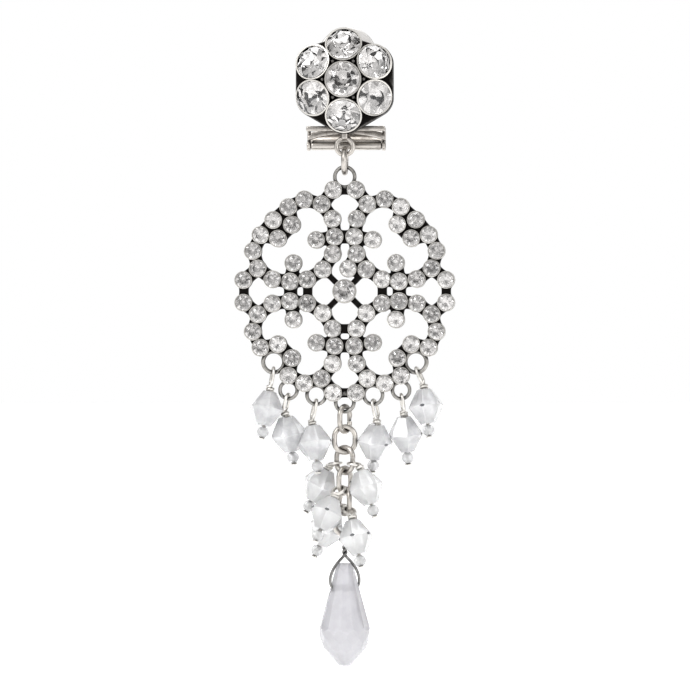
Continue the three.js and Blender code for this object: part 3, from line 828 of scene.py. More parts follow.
def cup(inside, wall, depth, steps, room=0.0):
    """A closed cup for a stone, its rim at z = 0, with room under the stone if it may sit off level."""
    outside = inside + wall
    seat = -0.14 - room  # where the wall inside gives way to the stone's foiled back
    floor = -0.95 * inside - 0.14 - room
    return turned(
        [
            (0, -depth), (0.82 * outside, -depth), (0.9 * outside, 0.2 - depth),
            (0.95 * outside, -0.45 * depth), (outside, -0.2), (outside, 0.03), (outside - 0.2 * wall, 0.09),
            (inside, 0.1), (inside - 0.3 * wall, 0.05), (inside, -0.05), (inside, seat), (0.25, floor),
            (0, floor),
        ],
        steps,
    )


CLUSTER_PITCH = 4.5  # from the middle stone's axis to each outer girdle's middle
CLUSTER_LEAN = radians(24)
CLUSTER_STEP = 0.9  # how far the outer girdles sit behind the middle one
CLUSTER_CROWN = 0.78  # how far the middle stone stands in front of its girdle


def round_the_middle(turn):
    """The way out from the middle of the cluster, at a turn from straight up."""
    return Vector((sin(turn), 0, cos(turn)))


def cluster_seats():
    """A matrix for each of the seven stones: its girdle's middle, and z the way it faces."""
    low, high = box_of("cluster_stone_middle")
    middle = Vector(((low.x + high.x) / 2, low.y + CLUSTER_CROWN, (low.z + high.z) / 2))
    seats = {"cluster_stone_middle": standing(middle, FRONT, X)}
    for i in range(6):
        out = round_the_middle(i * pi / 3)
        facing = FRONT * cos(CLUSTER_LEAN) + out * sin(CLUSTER_LEAN)
        place = middle + out * CLUSTER_PITCH + Y * CLUSTER_STEP
        seats[f"cluster_stone_{i + 1}"] = standing(place, facing, out)
    return seats


class EARCLIP_OT_cluster_plate(Operator):
    """Make the cluster's six-sided plate with its neck and fixed ring"""

    bl_idname = "ear_clip.cluster_plate"
    bl_label = "Cluster plate"

    THICKNESS = 1.9
    CORNER = 2.25  # radius of its rounded corners
    TOP_CUTS = ((-17, 5.47), (0, 5.7), (17, 5.47))  # over the top stone: degrees from up, and how far out
    RING, RING_WIRE = 1.05, 0.62

    def execute(self, context):
        low, high = box_of("cluster_setting")
        middle = cluster_seats()["cluster_stone_middle"].translation
        back, front = high.y, high.y - self.THICKNESS
        self.plate(middle, back, back - front)
        hanging = box_of("medallion")[0].y + MEDALLION_DEPTH
        place = Vector((0, hanging, low.z + self.RING + self.RING_WIRE / 2))
        self.neck_and_ring(place, (front + 0.1, back - 0.1), middle.z - CLUSTER_PITCH)
        return {"FINISHED"}

    def plate(self, middle, back, thickness):
        side = pi / 6  # half of what one of the six sides spans
        bm = bmesh.new()
        reach = CLUSTER_PITCH + self.CORNER / cos(side)
        bmesh.ops.create_circle(bm, cap_ends=True, segments=6, radius=reach)
        bmesh.ops.bevel(
            bm, geom=bm.verts[:], offset=self.CORNER * tan(side), offset_type="OFFSET", segments=6,
            profile=0.5, affect="VERTICES", material=-1,
        )
        thickened(bm, thickness)
        bmesh.ops.recalc_face_normals(bm, faces=bm.faces)
        for turn, away in self.TOP_CUTS:
            facet(bm, Vector((sin(radians(turn)), cos(radians(turn)), 0)) * away, 0, pi / 2)
        skin = fused(placed(bm, standing(Vector((middle.x, back, middle.z)), FRONT, X)), 0.1, 3)
        mark(skin, 1, faces_back)
        silver = [casting(), rubbed_back()]
        add_piece(skin, "cluster_plate", "head", ["cluster_setting"], silver, 60)

    def neck_and_ring(self, place, depth, top):
        """The ring that doesn't move, on a short neck soldered under the plate."""
        bm = block((-0.35, 0.35), depth, (place.z + 0.95, top))
        stamp(bm, mesh_from(wire_ring(self.RING, self.RING_WIRE)), standing(place, FRONT, X))
        skin = fused(bm, 0.07, 3)
        add_piece(skin, "fixed_ring", "head", ["cluster_setting"], [ring_wire()], 60)


class EARCLIP_OT_cluster_cups(Operator):
    """Make the seven cups and the claws between them"""

    bl_idname = "ear_clip.cluster_cups"
    bl_label = "Cluster cups"

    CLAW = [(0, -2.2), (0.3, -2.2), (0.24, -0.2), (0.25, -0.05), (0.18, 0.12), (0, 0.18)]
    CLAW_SETBACK = 0.2  # from the middle stone's girdle

    def execute(self, context):
        shape = mesh_from(cup(stones().cluster_girdle + 0.02, wall=0.2, depth=2.6, steps=48, room=0.28))
        seats = cluster_seats()
        bm = bmesh.new()
        for seat in seats.values():
            stamp(bm, shape, seat)
        claw = mesh_from(turned(self.CLAW, 16))
        for face in claw.polygons:
            face.material_index = 1
        middle = seats["cluster_stone_middle"].translation
        for i in range(6):
            out = round_the_middle((i + 0.5) * pi / 3)
            place = middle + out * (CLUSTER_PITCH / sqrt(3)) + Y * self.CLAW_SETBACK
            stamp(bm, claw, standing(place, FRONT, X))
        silver = [rims(), casting()]
        add_piece(bm, "cluster_cups", "head", ["cluster_setting"], silver, 40)
        return {"FINISHED"}


class EARCLIP_OT_cluster_stones(Operator):
    """Cut the cluster's seven stones"""

    bl_idname = "ear_clip.cluster_stones"
    bl_label = "Cluster stones"

    def execute(self, context):
        shape = mesh_from(brilliant(stones().cluster_girdle))
        for node, seat in cluster_seats().items():
            turn, lean, way = (radians(angle) for angle in CLUSTER_SETTLING[node])
            tipped = Matrix.Rotation(way, 4, "Z") @ Matrix.Rotation(lean, 4, "X")
            bm = bmesh.new()
            stamp(bm, shape, seat @ tipped @ Matrix.Rotation(turn - way, 4, "Z"))
            name = node.replace("cluster_stone", "cut_stone")
            add_piece(bm, name, "head", [node], [crystal(), foil()])
        return {"FINISHED"}


# ------------------------------------------------------------------ clip


class EARCLIP_OT_clip(Operator):
    """Make the clip's base plate, leaf spring and lever"""

    bl_idname = "ear_clip.clip"
    bl_label = "Clip"

    PIVOT = Vector((0, 0.9, -11.45))
    BAR_TOP, BAR_BOTTOM = -9.0, -9.65  # of the base plate's cross bar
    POLISHED_ABOVE = -9.3  # the lever's front is polished above this

    def execute(self, context):
        self.base_plate()
        self.leaf_spring()
        self.lever()
        return {"FINISHED"}

    def base_plate(self):
        """A plate with a waist, a cross bar under it, and two ears with eyes, bored for the lever's pin."""
        low, high = box_of("clip_base")
        half_width, corner = 3.8, 1.5
        waist, slope = 2.0, (1.7, -1.8)
        ear, ear_back = 0.45, 1.6
        eye, hole = 0.62, 0.37
        bar = (self.BAR_BOTTOM, self.BAR_TOP)
        ear_height = self.BAR_TOP - 0.1  # buried in the bar, so that the two fuse
        bm = block((-half_width, half_width), (low.y, 0), (self.BAR_BOTTOM, high.z))
        corners = [e for e in bm.edges if all(v.co.z > high.z - 0.1 for v in e.verts) and
                   abs(e.verts[0].co.y - e.verts[1].co.y) > 0.1]
        rounded(bm, corners, corner, 8)
        for side in (-1, 1):
            out = Vector((side * slope[0], 0, slope[1])).normalized()
            cut_away(bm, Vector((side * waist, 0, self.BAR_TOP)), out)
            close_holes(bm)
        stamp(bm, mesh_from(block((low.x, high.x), (low.y, 0), bar, 0.12)))
        for side in (low.x, high.x - ear):
            across = (side, side + ear)
            stamp(bm, mesh_from(block(across, (1.22, ear_back), (self.PIVOT.z, ear_height))))
            stamp(bm, mesh_from(block(across, (-0.2, ear_back), (self.BAR_BOTTOM, ear_height))))
            stamp(bm, mesh_from(rod(eye, 0, ear)), standing(self.PIVOT + X * side, X, Z))
        drill = placed(rod(hole, low.x - 1, high.x + 1, 24), standing(self.PIVOT, X, Z))
        plate = bored(fused(bm, 0.09, 2), drill)
        mark(plate, 1, lambda face: face.calc_center_median().z > self.BAR_TOP)
        silver = [stamped(), clean_arm()]
        add_piece(plate, "clip_plate", "head", ["clip_base"], silver, 50)

    def leaf_spring(self):
        """A strip bowed up in the middle, between the cross bar and the lever's bar."""
        low, high = box_of("clip_spring")
        sheet = 0.54
        rise = (high.z - low.z) - sheet
        bm = bmesh.new()
        bmesh.ops.create_grid(bm, x_segments=28, y_segments=1, size=1)
        middle_y, half_y = (low.y + high.y) / 2, (high.y - low.y) / 2
        for v in bm.verts:
            v.co = (v.co.x * high.x, middle_y + v.co.y * half_y, low.z + rise * (1 - v.co.x**2))
        tidied(thickened(bm, sheet))
        rounded(bm, sharp_edges(bm), 0.1, 2)
        add_piece(bm, "leaf_spring", "head", ["clip_spring"], [stamped()], 30)

    def lever(self):
        """A bar between the ears, a foot bent up behind them, an arm, and the round pad on its end."""
        low, high = box_of("clip_lever")
        sheet = 0.9
        step = 0.05  # the pad stands proud of the arm by this on both faces
        strip = self.bent_strip(high.y - sheet / 2)
        bmesh.ops.solidify(strip, geom=strip.faces[:], thickness=sheet - 2 * step)
        arm_low = min(v.co.y for v in strip.verts if v.co.z > self.BAR_TOP)
        bmesh.ops.translate(strip, vec=(0, high.y - sheet + step - arm_low, 0), verts=strip.verts)
        bar = rod(0.55, low.x + 0.45, high.x - 0.45)
        stamp(strip, mesh_from(bar), standing(self.PIVOT, X, Z))
        skin = fused(strip, 0.12, 3)
        pin = rod(0.3, low.x, high.x, 20)
        stamp(skin, mesh_from(pin), standing(self.PIVOT, X, Z))
        mark(skin, 1, self.polished)
        pad = rod(high.z, 0, sheet, 96)
        rounded(pad, sharp_edges(pad), 0.2, 4)
        for face in pad.faces:
            face.material_index = 2
        stamp(skin, mesh_from(pad), standing(Vector((0, high.y, 0)), FRONT, X))
        silver = [stamped(), clean_arm(), satin()]
        add_piece(skin, "lever_and_pad", "lever", ["clip_lever"], silver, 50)

    def bent_strip(self, arm_y):
        """The lever's foot and arm as a face without thickness, from the bar round the bend and up."""
        bend = 1.6
        between_ears, behind_ears, arm = 4.3, 4.85, 2.2  # half widths
        bm = bmesh.new()
        ends = [bm.verts.new((side * between_ears, self.PIVOT.y, self.PIVOT.z)) for side in (-1, 1)]
        edge = bm.edges.new(ends)
        route = [(arm_y - bend, self.PIVOT.z, between_ears)]
        for i in range(1, 7):
            turn = i * pi / 12
            back, up = arm_y - bend + bend * sin(turn), self.PIVOT.z + bend * (1 - cos(turn))
            route.append((back, up, behind_ears))
        route += [(arm_y, -9.6, behind_ears), (arm_y, -9.1, arm), (arm_y, -2.0, arm)]
        for y, z, half in route:
            made = bmesh.ops.extrude_edge_only(bm, edges=[edge])["geom"]
            edge = next(piece for piece in made if isinstance(piece, bmesh.types.BMEdge))
            for v in edge.verts:
                v.co = (half if v.co.x > 0 else -half, y, z)
        bmesh.ops.recalc_face_normals(bm, faces=bm.faces)
        return bm

    def polished(self, face):
        """Whether wearing keeps a face of the lever bright: its back, and all of its arm."""
        return face.normal.y > 0.3 or face.calc_center_median().z > self.POLISHED_ABOVE


class EARCLIP_OT_hanger_ring(Operator):
    """Make the jump ring that the medallion hangs on"""

    bl_idname = "ear_clip.hanger_ring"
    bl_label = "Hanger ring"

    def execute(self, context):
        low, high = box_of("hanger_ring")
        wire = high.x - low.x
        bm = wire_ring((high.z - low.z - wire) / 2, wire, cut=0.05)
        placed(bm, standing(middle_of("hanger_ring"), X, Y))
        add_piece(bm, "jump_ring", "hanger", ["hanger_ring"], [ring_wire()], 40)
        return {"FINISHED"}


# ------------------------------------------------------------------ medallion


PLATE_DEPTH = (0.05, 0.85)  # the openwork's front and back, behind the plane that it hangs in


def medallion_middle():
    """The middle of the medallion's hanging plane, in millimetres."""
    low, high = box_of("medallion")
    return Vector((0, low.y + MEDALLION_DEPTH, high.z - TOP_LOOP[1] - TOP_LOOP[3]))


def cell_places():
    """Every small stone's (across, up) from the medallion's middle."""
    places = [STRAY_CELL]
    for across, up, below in CELLS:
        for x, z in sorted({(across, up), (up, across)}):
            for side in (-1, 1):
                places.append((side * x, z))
                if below:
                    places.append((side * x, -z))
    return places


def distance(start, end):
    return hypot(end[0] - start[0], end[1] - start[1])


def beside_stray(start, end):
    """Whether two cups have the stray cup between them, which takes their tie's place."""
    between = [(a + b) / 2 for a, b in zip(start, end)]
    return distance(between, STRAY_CELL) < 2


def bar_between(start, end, width, depth=PLATE_DEPTH):
    """A flat bar in the medallion's plane, kept half a millimetre short of two (across, up) places."""
    across, up = end[0] - start[0], end[1] - start[1]
    half = distance(start, end) / 2 - 0.5
    middle = Vector((start[0] + across / 2, 0, start[1] + up / 2))
    place = standing(middle, Vector((-up, 0, across)), Vector((across, 0, up)))
    return placed(block((-half, half), depth, (-width / 2, width / 2)), place)


class EARCLIP_OT_medallion_plate(Operator):
    """Cast the medallion's openwork plate with its loops"""

    bl_idname = "ear_clip.medallion_plate"
    bl_label = "Medallion plate"

    BOSS = [(0, -0.9), (1.13, -0.9), (1.13, -0.1), (1.04, -0.1), (1.0, -0.6), (0, -0.6)]
    MIDDLE_BOSS = [(0, -0.92), (1.42, -0.92), (1.42, -0.7), (0, -0.7)]
    WEB, TIE, SPOKE = 1.7, 1.2, 0.75  # widths of the bars

    def execute(self, context):
        self.plate()
        self.loops()
        return {"FINISHED"}

    def plate(self):
        """A boss under each cup, with bars that join them, fused as the casting is."""
        bm = bmesh.new()
        places = cell_places()
        boss = mesh_from(turned(self.BOSS, 20))
        for across, up in places:
            stamp(bm, boss, standing(Vector((across, 0, up)), FRONT, X))
        stamp(bm, mesh_from(turned(self.MIDDLE_BOSS, 32)), standing(Vector(), FRONT, X))
        for i, start in enumerate(places):
            for end in places[i + 1:]:
                gap = distance(start, end)
                if gap < WEB_REACH:
                    stamp(bm, mesh_from(bar_between(start, end, self.WEB)))
                if TIE_REACH[0] < gap < TIE_REACH[1] and not beside_stray(start, end):
                    stamp(bm, mesh_from(bar_between(start, end, self.TIE)))
        for side in (-INNER_CORNER, INNER_CORNER):
            for level in (-INNER_CORNER, INNER_CORNER):
                spoke = bar_between((0.2 * side, 0.2 * level), (side, level), self.SPOKE, (0.0, 0.8))
                stamp(bm, mesh_from(spoke))
        bmesh.ops.translate(bm, vec=medallion_middle(), verts=bm.verts)
        skin = fused(bm, 0.13, 3)
        mark(skin, 1, faces_back)
        silver = [casting(), rubbed_back()]
        add_piece(skin, "medallion_plate", "drop", ["medallion"], silver, 60)

    def loops(self):
        """The loops cast on the plate's edge, a little brighter than it as they stand proud."""
        bm = bmesh.new()
        for across, up, hole, rim in LOOPS:
            loop = wire_ring((hole + rim) / 2, rim - hole, steps=40)
            bmesh.ops.scale(loop, vec=(1, 1, 1.3), verts=loop.verts)
            stamp(bm, mesh_from(loop), standing(medallion_middle() + Vector((across, 0, up)), FRONT, X))
        add_piece(bm, "medallion_loops", "drop", ["medallion"], [loop_metal()], 60)


def paved_seats():
    """A matrix for each small stone: its girdle's middle, and z the way it faces, a little off level."""
    proud, uneven = 0.62, 0.06  # of the girdles in front of the hanging plane
    chance = random.Random(stones().seed)
    middle = medallion_middle()
    seats = []
    for across, up in cell_places():
        lean = stones().tilt * sqrt(chance.random())
        turn = chance.uniform(0, 2 * pi)
        facing = FRONT + tan(lean) * Vector((cos(turn), 0, sin(turn)))
        spin = Matrix.Rotation(chance.uniform(0, 2 * pi), 4, "Z")
        place = middle + Vector((across, -proud + chance.uniform(-uneven, uneven), up))
        seats.append(standing(place, facing, X) @ spin)
    return seats


def middle_seat():
    """A matrix for the medallion's middle stone, which stands a little prouder than the others."""
    return standing(medallion_middle() + FRONT * 0.68, FRONT, X)


class EARCLIP_OT_medallion_cups(Operator):
    """Make the cups that the medallion's stones sit in"""

    bl_idname = "ear_clip.medallion_cups"
    bl_label = "Medallion cups"

    def execute(self, context):
        small = mesh_from(cup(stones().paved_girdle + 0.01, wall=0.12, depth=1.25, steps=20))
        large = mesh_from(cup(stones().middle_girdle + 0.01, wall=0.16, depth=1.5, steps=32))
        bm = bmesh.new()
        for seat in paved_seats():
            stamp(bm, small, seat)
        stamp(bm, large, middle_seat())
        add_piece(bm, "medallion_cups", "drop", ["medallion"], [shaded_rims()], 40)
        return {"FINISHED"}


class EARCLIP_OT_medallion_stones(Operator):
    """Cut the medallion's stones and set them"""

    bl_idname = "ear_clip.medallion_stones"
    bl_label = "Medallion stones"

    def execute(self, context):
        small = mesh_from(brilliant(stones().paved_girdle))
        large = mesh_from(brilliant(stones().middle_girdle))
        bm = bmesh.new()
        for seat in paved_seats():
            stamp(bm, small, seat)
        stamp(bm, large, middle_seat())
        glass = [small_crystal(), small_foil()]
        add_piece(bm, "paved_stones", "drop", ["medallion"], glass)
        return {"FINISHED"}


# ------------------------------------------------------------------ drops

BEAD_HALF = 2.2
BEAD_GAP = 0.08
WRAP_HEIGHT = 0.7
WIRE_RADIUS = 0.2
FRAME_WIRE_RADIUS = 0.225  # of the frame's pins


def bicone():
    """A bicone bead with six large and six small flats at each end, drilled through."""
    bm = rod(2.4, -BEAD_HALF, BEAD_HALF, 48)
    lower = [(count, first, out, -height, 180 - tilt) for count, first, out, height, tilt in BICONE_TIERS]
    facet_tiers(bm, BICONE_TIERS + lower)
    return tidied(bored(bm, rod(0.34, -10, 10, 20)))


def seed_bead():
    """A small round glass bead, drilled through."""
    radius, hole = 0.74, 0.26
    end = sqrt(radius**2 - hole**2)
    steps = 10
    start = atan(end / hole)
    bm = bmesh.new()
    corners = []
    for i in range(steps + 1):
        turn = start * (1 - 2 * i / steps)
        corners.append(bm.verts.new((radius * cos(turn), 0, radius * sin(turn))))
    edges = [bm.edges.new(pair) for pair in zip(corners, corners[1:] + corners[:1])]
    return tidied(spun(bm, corners + edges, 28))


def spotted(shape, chance):
    """A bead with a few of its girdle's six corners ground off, their flats in slot 1, which paints them as
    dark reflections.
    """
    reach, share = 2.17, 0.35  # how far out the ground spots are, and how many of the corners have one
    bm = bmesh.new()
    bm.from_mesh(shape)
    for i in range(6):
        if chance.random() < share:
            facet(bm, Vector((cos(i * pi / 3), sin(i * pi / 3), 0)) * reach, 0, pi / 2)
    tidied(bm)
    mark(bm, 1, lambda face: abs(face.normal.z) < 0.1 and face.calc_center_median().xy.length > reach - 0.05)
    return bm


def drop_frame(drop):
    """Where a drop's bead and tip are, the way it hangs, and the foot of its eye."""
    bead, tip = middle_of(f"{drop}_bead"), middle_of(f"{drop}_tip")
    down = (tip - bead).normalized()
    foot = bead - down * (BEAD_HALF + BEAD_GAP + WRAP_HEIGHT)
    return bead, tip, down, foot


def eye_frame(drop):
    """The way a drop's eye points from its foot, its length and the direction across it, from its CAD pin."""
    above_foot, beside_stem = 0.3, 0.62  # past either of these, a point of the pin is on its eye
    _, _, down, foot = drop_frame(drop)
    eye = []
    for point in points_of(f"{drop}_pin"):
        away = point - foot
        along = away.dot(down)
        if along < -above_foot or (away - along * down).length > beside_stem:
            eye.append(point)
    farthest = max((point - foot).length for point in eye)
    crown = [point for point in eye if (point - foot).length > 0.94 * farthest]
    rise = sum(crown, Vector()) / len(crown) - foot
    normal = spread(eye)[1][2]
    return rise.normalized(), farthest - FRAME_WIRE_RADIUS, normal


def pin_route(drop):
    """The one wire of a drop: up through the bead, round the eye, and twice round its own stem."""
    bead, tip, down, foot = drop_frame(drop)
    rise, length, normal = eye_frame(drop)
    side = rise.cross(normal).normalized()
    points = [tip + down * 0.86, bead, foot + down * 0.5, foot + down * 0.12]
    half, opening = 0.76, 0.35  # half the eye's width, and half of the turn left open at its foot
    pull = 1.05  # a smooth curve runs a little inside its points
    for i in range(1, 14):
        turn = -pi / 2 + opening + (2 * pi - 2 * opening) * i / 14
        out = side * half * cos(turn) * pull
        stretch = length / 2 - half
        up = rise * (length / 2 + half * sin(turn) + (stretch if sin(turn) > 0 else -stretch))
        points.append(foot + out + up)
    around = down.cross(side).normalized()
    coil = WIRE_RADIUS * 2 - 0.02
    turns, steps = 1.75, 21
    for i in range(steps + 1):
        turn = pi + 2 * pi * turns * i / steps
        depth = 0.05 + (WRAP_HEIGHT - 0.1) * i / steps
        points.append(foot + down * depth + coil * (side * cos(turn) + around * sin(turn)))
    return points


class EARCLIP_OT_drops(Operator):
    """Make the eleven small drops: wire pin, bicone bead and tip bead"""

    bl_idname = "ear_clip.drops"
    bl_label = "Crystal drops"

    PIN_HEAD = [(0, 0.2), (0.3, 0.17), (0.42, 0.08), (0.38, 0), (0, 0)]

    def execute(self, context):
        chance = random.Random(stones().seed)
        bead_shape = mesh_from(bicone())
        tip_shape = mesh_from(seed_bead())
        head_shape = mesh_from(turned(self.PIN_HEAD, 20))
        for drop in DROPS:
            bead, tip, down, _ = drop_frame(drop)
            side = self.widest_corner(f"{drop}_bead", bead, down)
            glass = pale_opal() if drop.startswith("tassel") else opal()
            bm = placed(spotted(bead_shape, chance), standing(bead, -down, side))
            add_piece(bm, f"{drop}_crystal", "drop", [f"{drop}_bead"], [glass, smoked()])
            bm = bmesh.new()
            stamp(bm, tip_shape, standing(tip, -down, side))
            add_piece(bm, f"{drop}_foot_bead", "drop", [f"{drop}_tip"], [glass], 50)
            bm = bent_wire(pin_route(drop), WIRE_RADIUS)
            stamp(bm, head_shape, standing(tip + down * 0.9, -down, side))
            add_piece(bm, f"{drop}_wire", "drop", [f"{drop}_pin"], [pin_wire()], 50)
        return {"FINISHED"}

    def widest_corner(self, node, centre, down):
        """The direction of a corner of a bead's girdle."""
        outward = [(p - centre) - (p - centre).dot(down) * down for p in points_of(node)]
        return max(outward, key=lambda away: away.length)


# ------------------------------------------------------------------ chain and teardrop


class EARCLIP_OT_chain(Operator):
    """Make the tassel's oval links"""

    bl_idname = "ear_clip.chain"
    bl_label = "Chain"

    def execute(self, context):
        wire = 0.65
        for node in CHAIN_LINKS:
            _, (length_way, width_way, normal) = spread(points_of(node))
            centre = middle_of(node)
            reach = [point - centre for point in points_of(node)]
            half_length = max(p.dot(length_way) for p in reach) - wire / 2
            half_width = max(p.dot(width_way) for p in reach) - wire / 2
            bm = wire_ring(half_width, wire, cut=0.02)
            for v in bm.verts:
                v.co.y += (half_length - half_width) * (1 if v.co.y > 0 else -1)
            placed(bm, standing(centre, normal, width_way))
            name = node.replace("chain", "oval")
            add_piece(bm, name, "drop", [node], [ring_wire()], 40)
        return {"FINISHED"}


class EARCLIP_OT_teardrop(Operator):
    """Cut the teardrop and bend the bail that holds it"""

    bl_idname = "ear_clip.teardrop"
    bl_label = "Teardrop"

    EYE, TWIST = 0.75, 1.8  # the eye's radius, and the height of the twist under it
    PEAK = 2 * EYE + TWIST  # how far below the bail's top the bow's peak is
    STRAND = 0.18  # radius of the wire
    FRAME_WIRE = 0.4  # what the frame's bail measures through
    HOLE, HOLE_DEPTH = 0.42, 4.1  # the drop's hole for the bail, and how far it is below the peak

    # One side of the bow, from the hole up to the twist: how far out, and how far below the peak.
    BOW = [(0.9, 4.12), (1.5, 4.1), (1.95, 3.7), (2.0, 2.7), (1.6, 1.6), (0.85, 0.65), (0.3, 0.15)]

    def execute(self, context):
        low, high = box_of("teardrop_bail")
        top = Vector(((low.x + high.x) / 2, (low.y + high.y) / 2, high.z - self.FRAME_WIRE / 2))
        bow = [point for point in points_of("teardrop_bail") if point.z < top.z - self.PEAK - 0.5]
        normal = spread(bow)[1][2]
        place = standing(top, Z, Vector((normal.y, -normal.x, 0)).normalized())
        self.bail(place)
        self.crystal(place)
        return {"FINISHED"}

    def bail(self, place):
        """One wire: from the drop's hole up one side, twisted with itself, round the eye and back."""
        strand = []
        turns, steps = 1.5, 18
        for i in range(steps + 1):
            turn = 2 * pi * turns * i / steps
            height = -self.PEAK + self.TWIST * i / steps
            strand.append(Vector((self.STRAND * cos(turn), self.STRAND * sin(turn), height)))
        points = [Vector((x, 0, -self.PEAK - drop)) for x, drop in self.BOW] + strand
        for i in range(1, 12):
            turn = -pi / 2 + 2 * pi * i / 12
            points.append(Vector((0, self.EYE * cos(turn), -self.EYE + self.EYE * sin(turn))))
        points += [Vector((-p.x, -p.y, p.z)) for p in reversed(strand)]
        points += [Vector((-x, 0, -self.PEAK - drop)) for x, drop in reversed(self.BOW)]
        bm = placed(bent_wire(points, self.STRAND), place)
        add_piece(bm, "twisted_bail", "drop", ["teardrop_bail"], [bail_wire()], 50)

    def crystal(self, place):
        """The drop, ground from a rod and drilled across for the bail."""
        bm = rod(3.3, -13.8, -0.85, 48)
        facet_tiers(bm, TEARDROP_TIERS)
        drill = placed(rod(self.HOLE, -4, 4, 20), standing(Vector((0, 0, -self.HOLE_DEPTH)), X, Z))
        bm = placed(tidied(bored(bm, drill)), place @ Matrix.Translation((0, 0, -self.PEAK)))
        add_piece(bm, "faceted_teardrop", "drop", ["teardrop"], [milky()])


# ------------------------------------------------------------------ stage


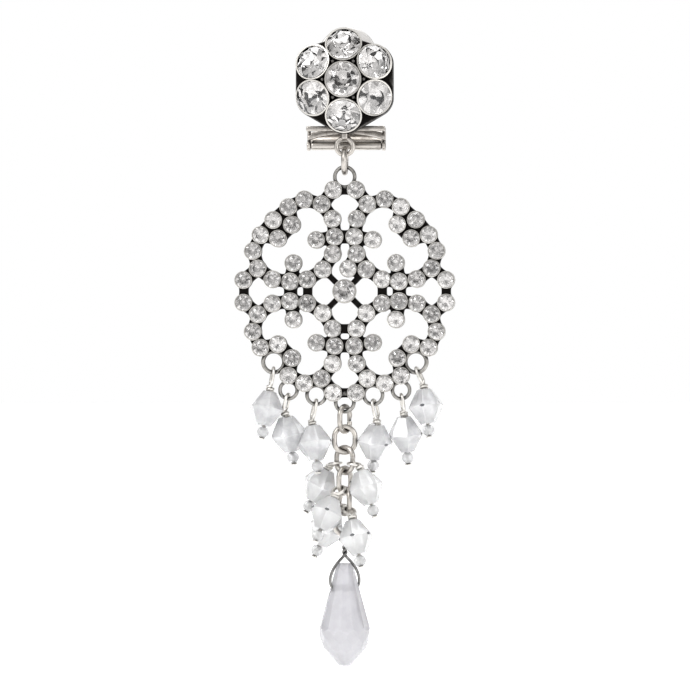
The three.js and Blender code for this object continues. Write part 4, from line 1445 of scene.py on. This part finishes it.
class EARCLIP_OT_stage(Operator):
    """Set the camera, the floor and the light"""

    bl_idname = "ear_clip.stage"
    bl_label = "Stage"

    FLOOR_RADIUS, FLOOR_DROP = 3, 0.012  # metres; the ear clip hangs a little over its floor

    # Soft boxes: where each stands from the middle, in metres, its size and its power in watts.
    SOFT_BOXES = [
        ("key", (-0.3, -0.4, 0.35), 0.22, 1.2),
        ("fill", (0.42, -0.3, 0.1), 0.25, 0.6),
        ("top", (0.0, 0.05, 0.6), 0.4, 2.5),
    ]

    # How bright the room is, from straight in front (0) round to straight behind (1).
    ROOM = [
        (0.0, 0.06), (0.004, 0.08), (0.009, 0.8), (0.22, 0.95), (0.36, 0.25), (0.62, 0.22), (0.8, 0.7),
        (1.0, 0.78),
    ]

    def execute(self, context):
        settings = context.scene.ear_clip_stage
        low, high = CAD_BOX
        centre = (low + high) / 2
        self.camera(context, settings, centre, high.z - low.z)
        self.floor(context, settings, low.z)
        self.world(context)
        self.lamps(context, centre)
        context.scene.view_settings.view_transform = "Standard"
        return {"FINISHED"}

    def camera(self, context, settings, centre, height):
        data = bpy.data.cameras.new("camera")
        data.lens = settings.lens
        away = height / settings.frame_share * data.lens / data.sensor_width
        data.clip_start, data.clip_end = 0.01, 20
        back = Vector((sin(settings.azimuth), -cos(settings.azimuth), 0))
        camera = bpy.data.objects.new("camera", data)
        camera.location = centre + back * away
        camera.rotation_mode = "QUATERNION"
        camera.rotation_quaternion = (-back).to_track_quat("-Z", "Y")
        context.scene.collection.objects.link(camera)
        context.scene.camera = camera

    def floor(self, context, settings, lowest):
        bm = bmesh.new()
        bmesh.ops.create_circle(bm, cap_ends=True, segments=64, radius=self.FLOOR_RADIUS)
        bmesh.ops.translate(bm, vec=(0, 0, lowest - self.FLOOR_DROP), verts=bm.verts)
        mesh = mesh_from(bm, "floor")
        mesh.materials.append(matt_paper("matt_white_studio_paper", list(settings.floor)))
        floor = bpy.data.objects.new("floor", mesh)
        context.scene.collection.objects.link(floor)

    def world(self, context):
        """White to the eye. Metal and glass see a soft room, bright before and behind, grey at its sides."""
        world = bpy.data.worlds.new("studio")
        context.scene.world = world
        world.use_nodes = True
        tree = world.node_tree
        tree.nodes.clear()
        way = add_node(tree, "ShaderNodeTexCoord").outputs["Generated"]
        apart = add_node(tree, "ShaderNodeSeparateXYZ", links={"Vector": way})
        to_back = add_node(
            tree, "ShaderNodeMapRange", {"From Min": -1.0, "From Max": 1.0}, {"Value": apart.outputs["Y"]}
        ).outputs["Result"]
        room = add_node(
            tree, "ShaderNodeValToRGB", links={"Fac": to_back},
            stops=[(position, (level, level, level)) for position, level in self.ROOM],
        ).outputs["Color"]
        overhead = add_node(
            tree, "ShaderNodeMapRange", {"From Min": -0.6, "From Max": 0.8, "To Min": 0.75, "To Max": 1.2},
            {"Value": apart.outputs["Z"]},
        ).outputs["Result"]
        room_light = add_node(tree, "ShaderNodeBackground", links={"Color": room, "Strength": overhead})
        white = add_node(tree, "ShaderNodeBackground", {"Color": (1, 1, 1, 1), "Strength": 1.0})
        seen = add_node(tree, "ShaderNodeLightPath").outputs["Is Camera Ray"]
        mixed = add_node(
            tree, "ShaderNodeMixShader", links={0: seen, 1: room_light.outputs[0], 2: white.outputs[0]}
        )
        add_node(tree, "ShaderNodeOutputWorld", links={"Surface": mixed.outputs[0]})

    def lamps(self, context, centre):
        for name, place, size, power in self.SOFT_BOXES:
            away = Vector(place)
            data = bpy.data.lights.new(name, "AREA")
            data.size = size
            data.energy = power
            lamp = bpy.data.objects.new(name, data)
            lamp.location = centre + away
            lamp.rotation_mode = "QUATERNION"
            lamp.rotation_quaternion = (-away).to_track_quat("-Z", "Y")
            context.scene.collection.objects.link(lamp)


# ------------------------------------------------------------------ panel and registration

STEPS = (
    EARCLIP_OT_cluster_plate,
    EARCLIP_OT_cluster_cups,
    EARCLIP_OT_cluster_stones,
    EARCLIP_OT_clip,
    EARCLIP_OT_hanger_ring,
    EARCLIP_OT_medallion_plate,
    EARCLIP_OT_medallion_cups,
    EARCLIP_OT_medallion_stones,
    EARCLIP_OT_drops,
    EARCLIP_OT_chain,
    EARCLIP_OT_teardrop,
    EARCLIP_OT_stage,
)
SETTINGS = {
    "ear_clip_metals": EarClipMetals,
    "ear_clip_stones": EarClipStones,
    "ear_clip_stage": EarClipStage,
}


class EARCLIP_PT_panel(Panel):
    """The ear clip's settings and steps"""

    bl_idname = "EARCLIP_PT_panel"
    bl_label = "Chandelier ear clip"
    bl_space_type = "VIEW_3D"
    bl_region_type = "UI"
    bl_category = "Ear clip"

    def draw(self, context):
        for name, group in SETTINGS.items():
            box = self.layout.box()
            for setting in group.__annotations__:
                box.prop(getattr(context.scene, name), setting)
        for step in STEPS:
            self.layout.operator(step.bl_idname)


def register():
    for kind in (*SETTINGS.values(), *STEPS, EARCLIP_PT_panel):
        bpy.utils.register_class(kind)
    for name, group in SETTINGS.items():
        setattr(bpy.types.Scene, name, PointerProperty(type=group))


def unregister():
    for name in SETTINGS:
        delattr(bpy.types.Scene, name)
    for kind in (EARCLIP_PT_panel, *reversed(STEPS), *SETTINGS.values()):
        bpy.utils.unregister_class(kind)


def main():
    register()
    for step in STEPS:
        group, name = step.bl_idname.split(".")
        getattr(getattr(bpy.ops, group), name)()


if __name__ == "__main__":
    main()
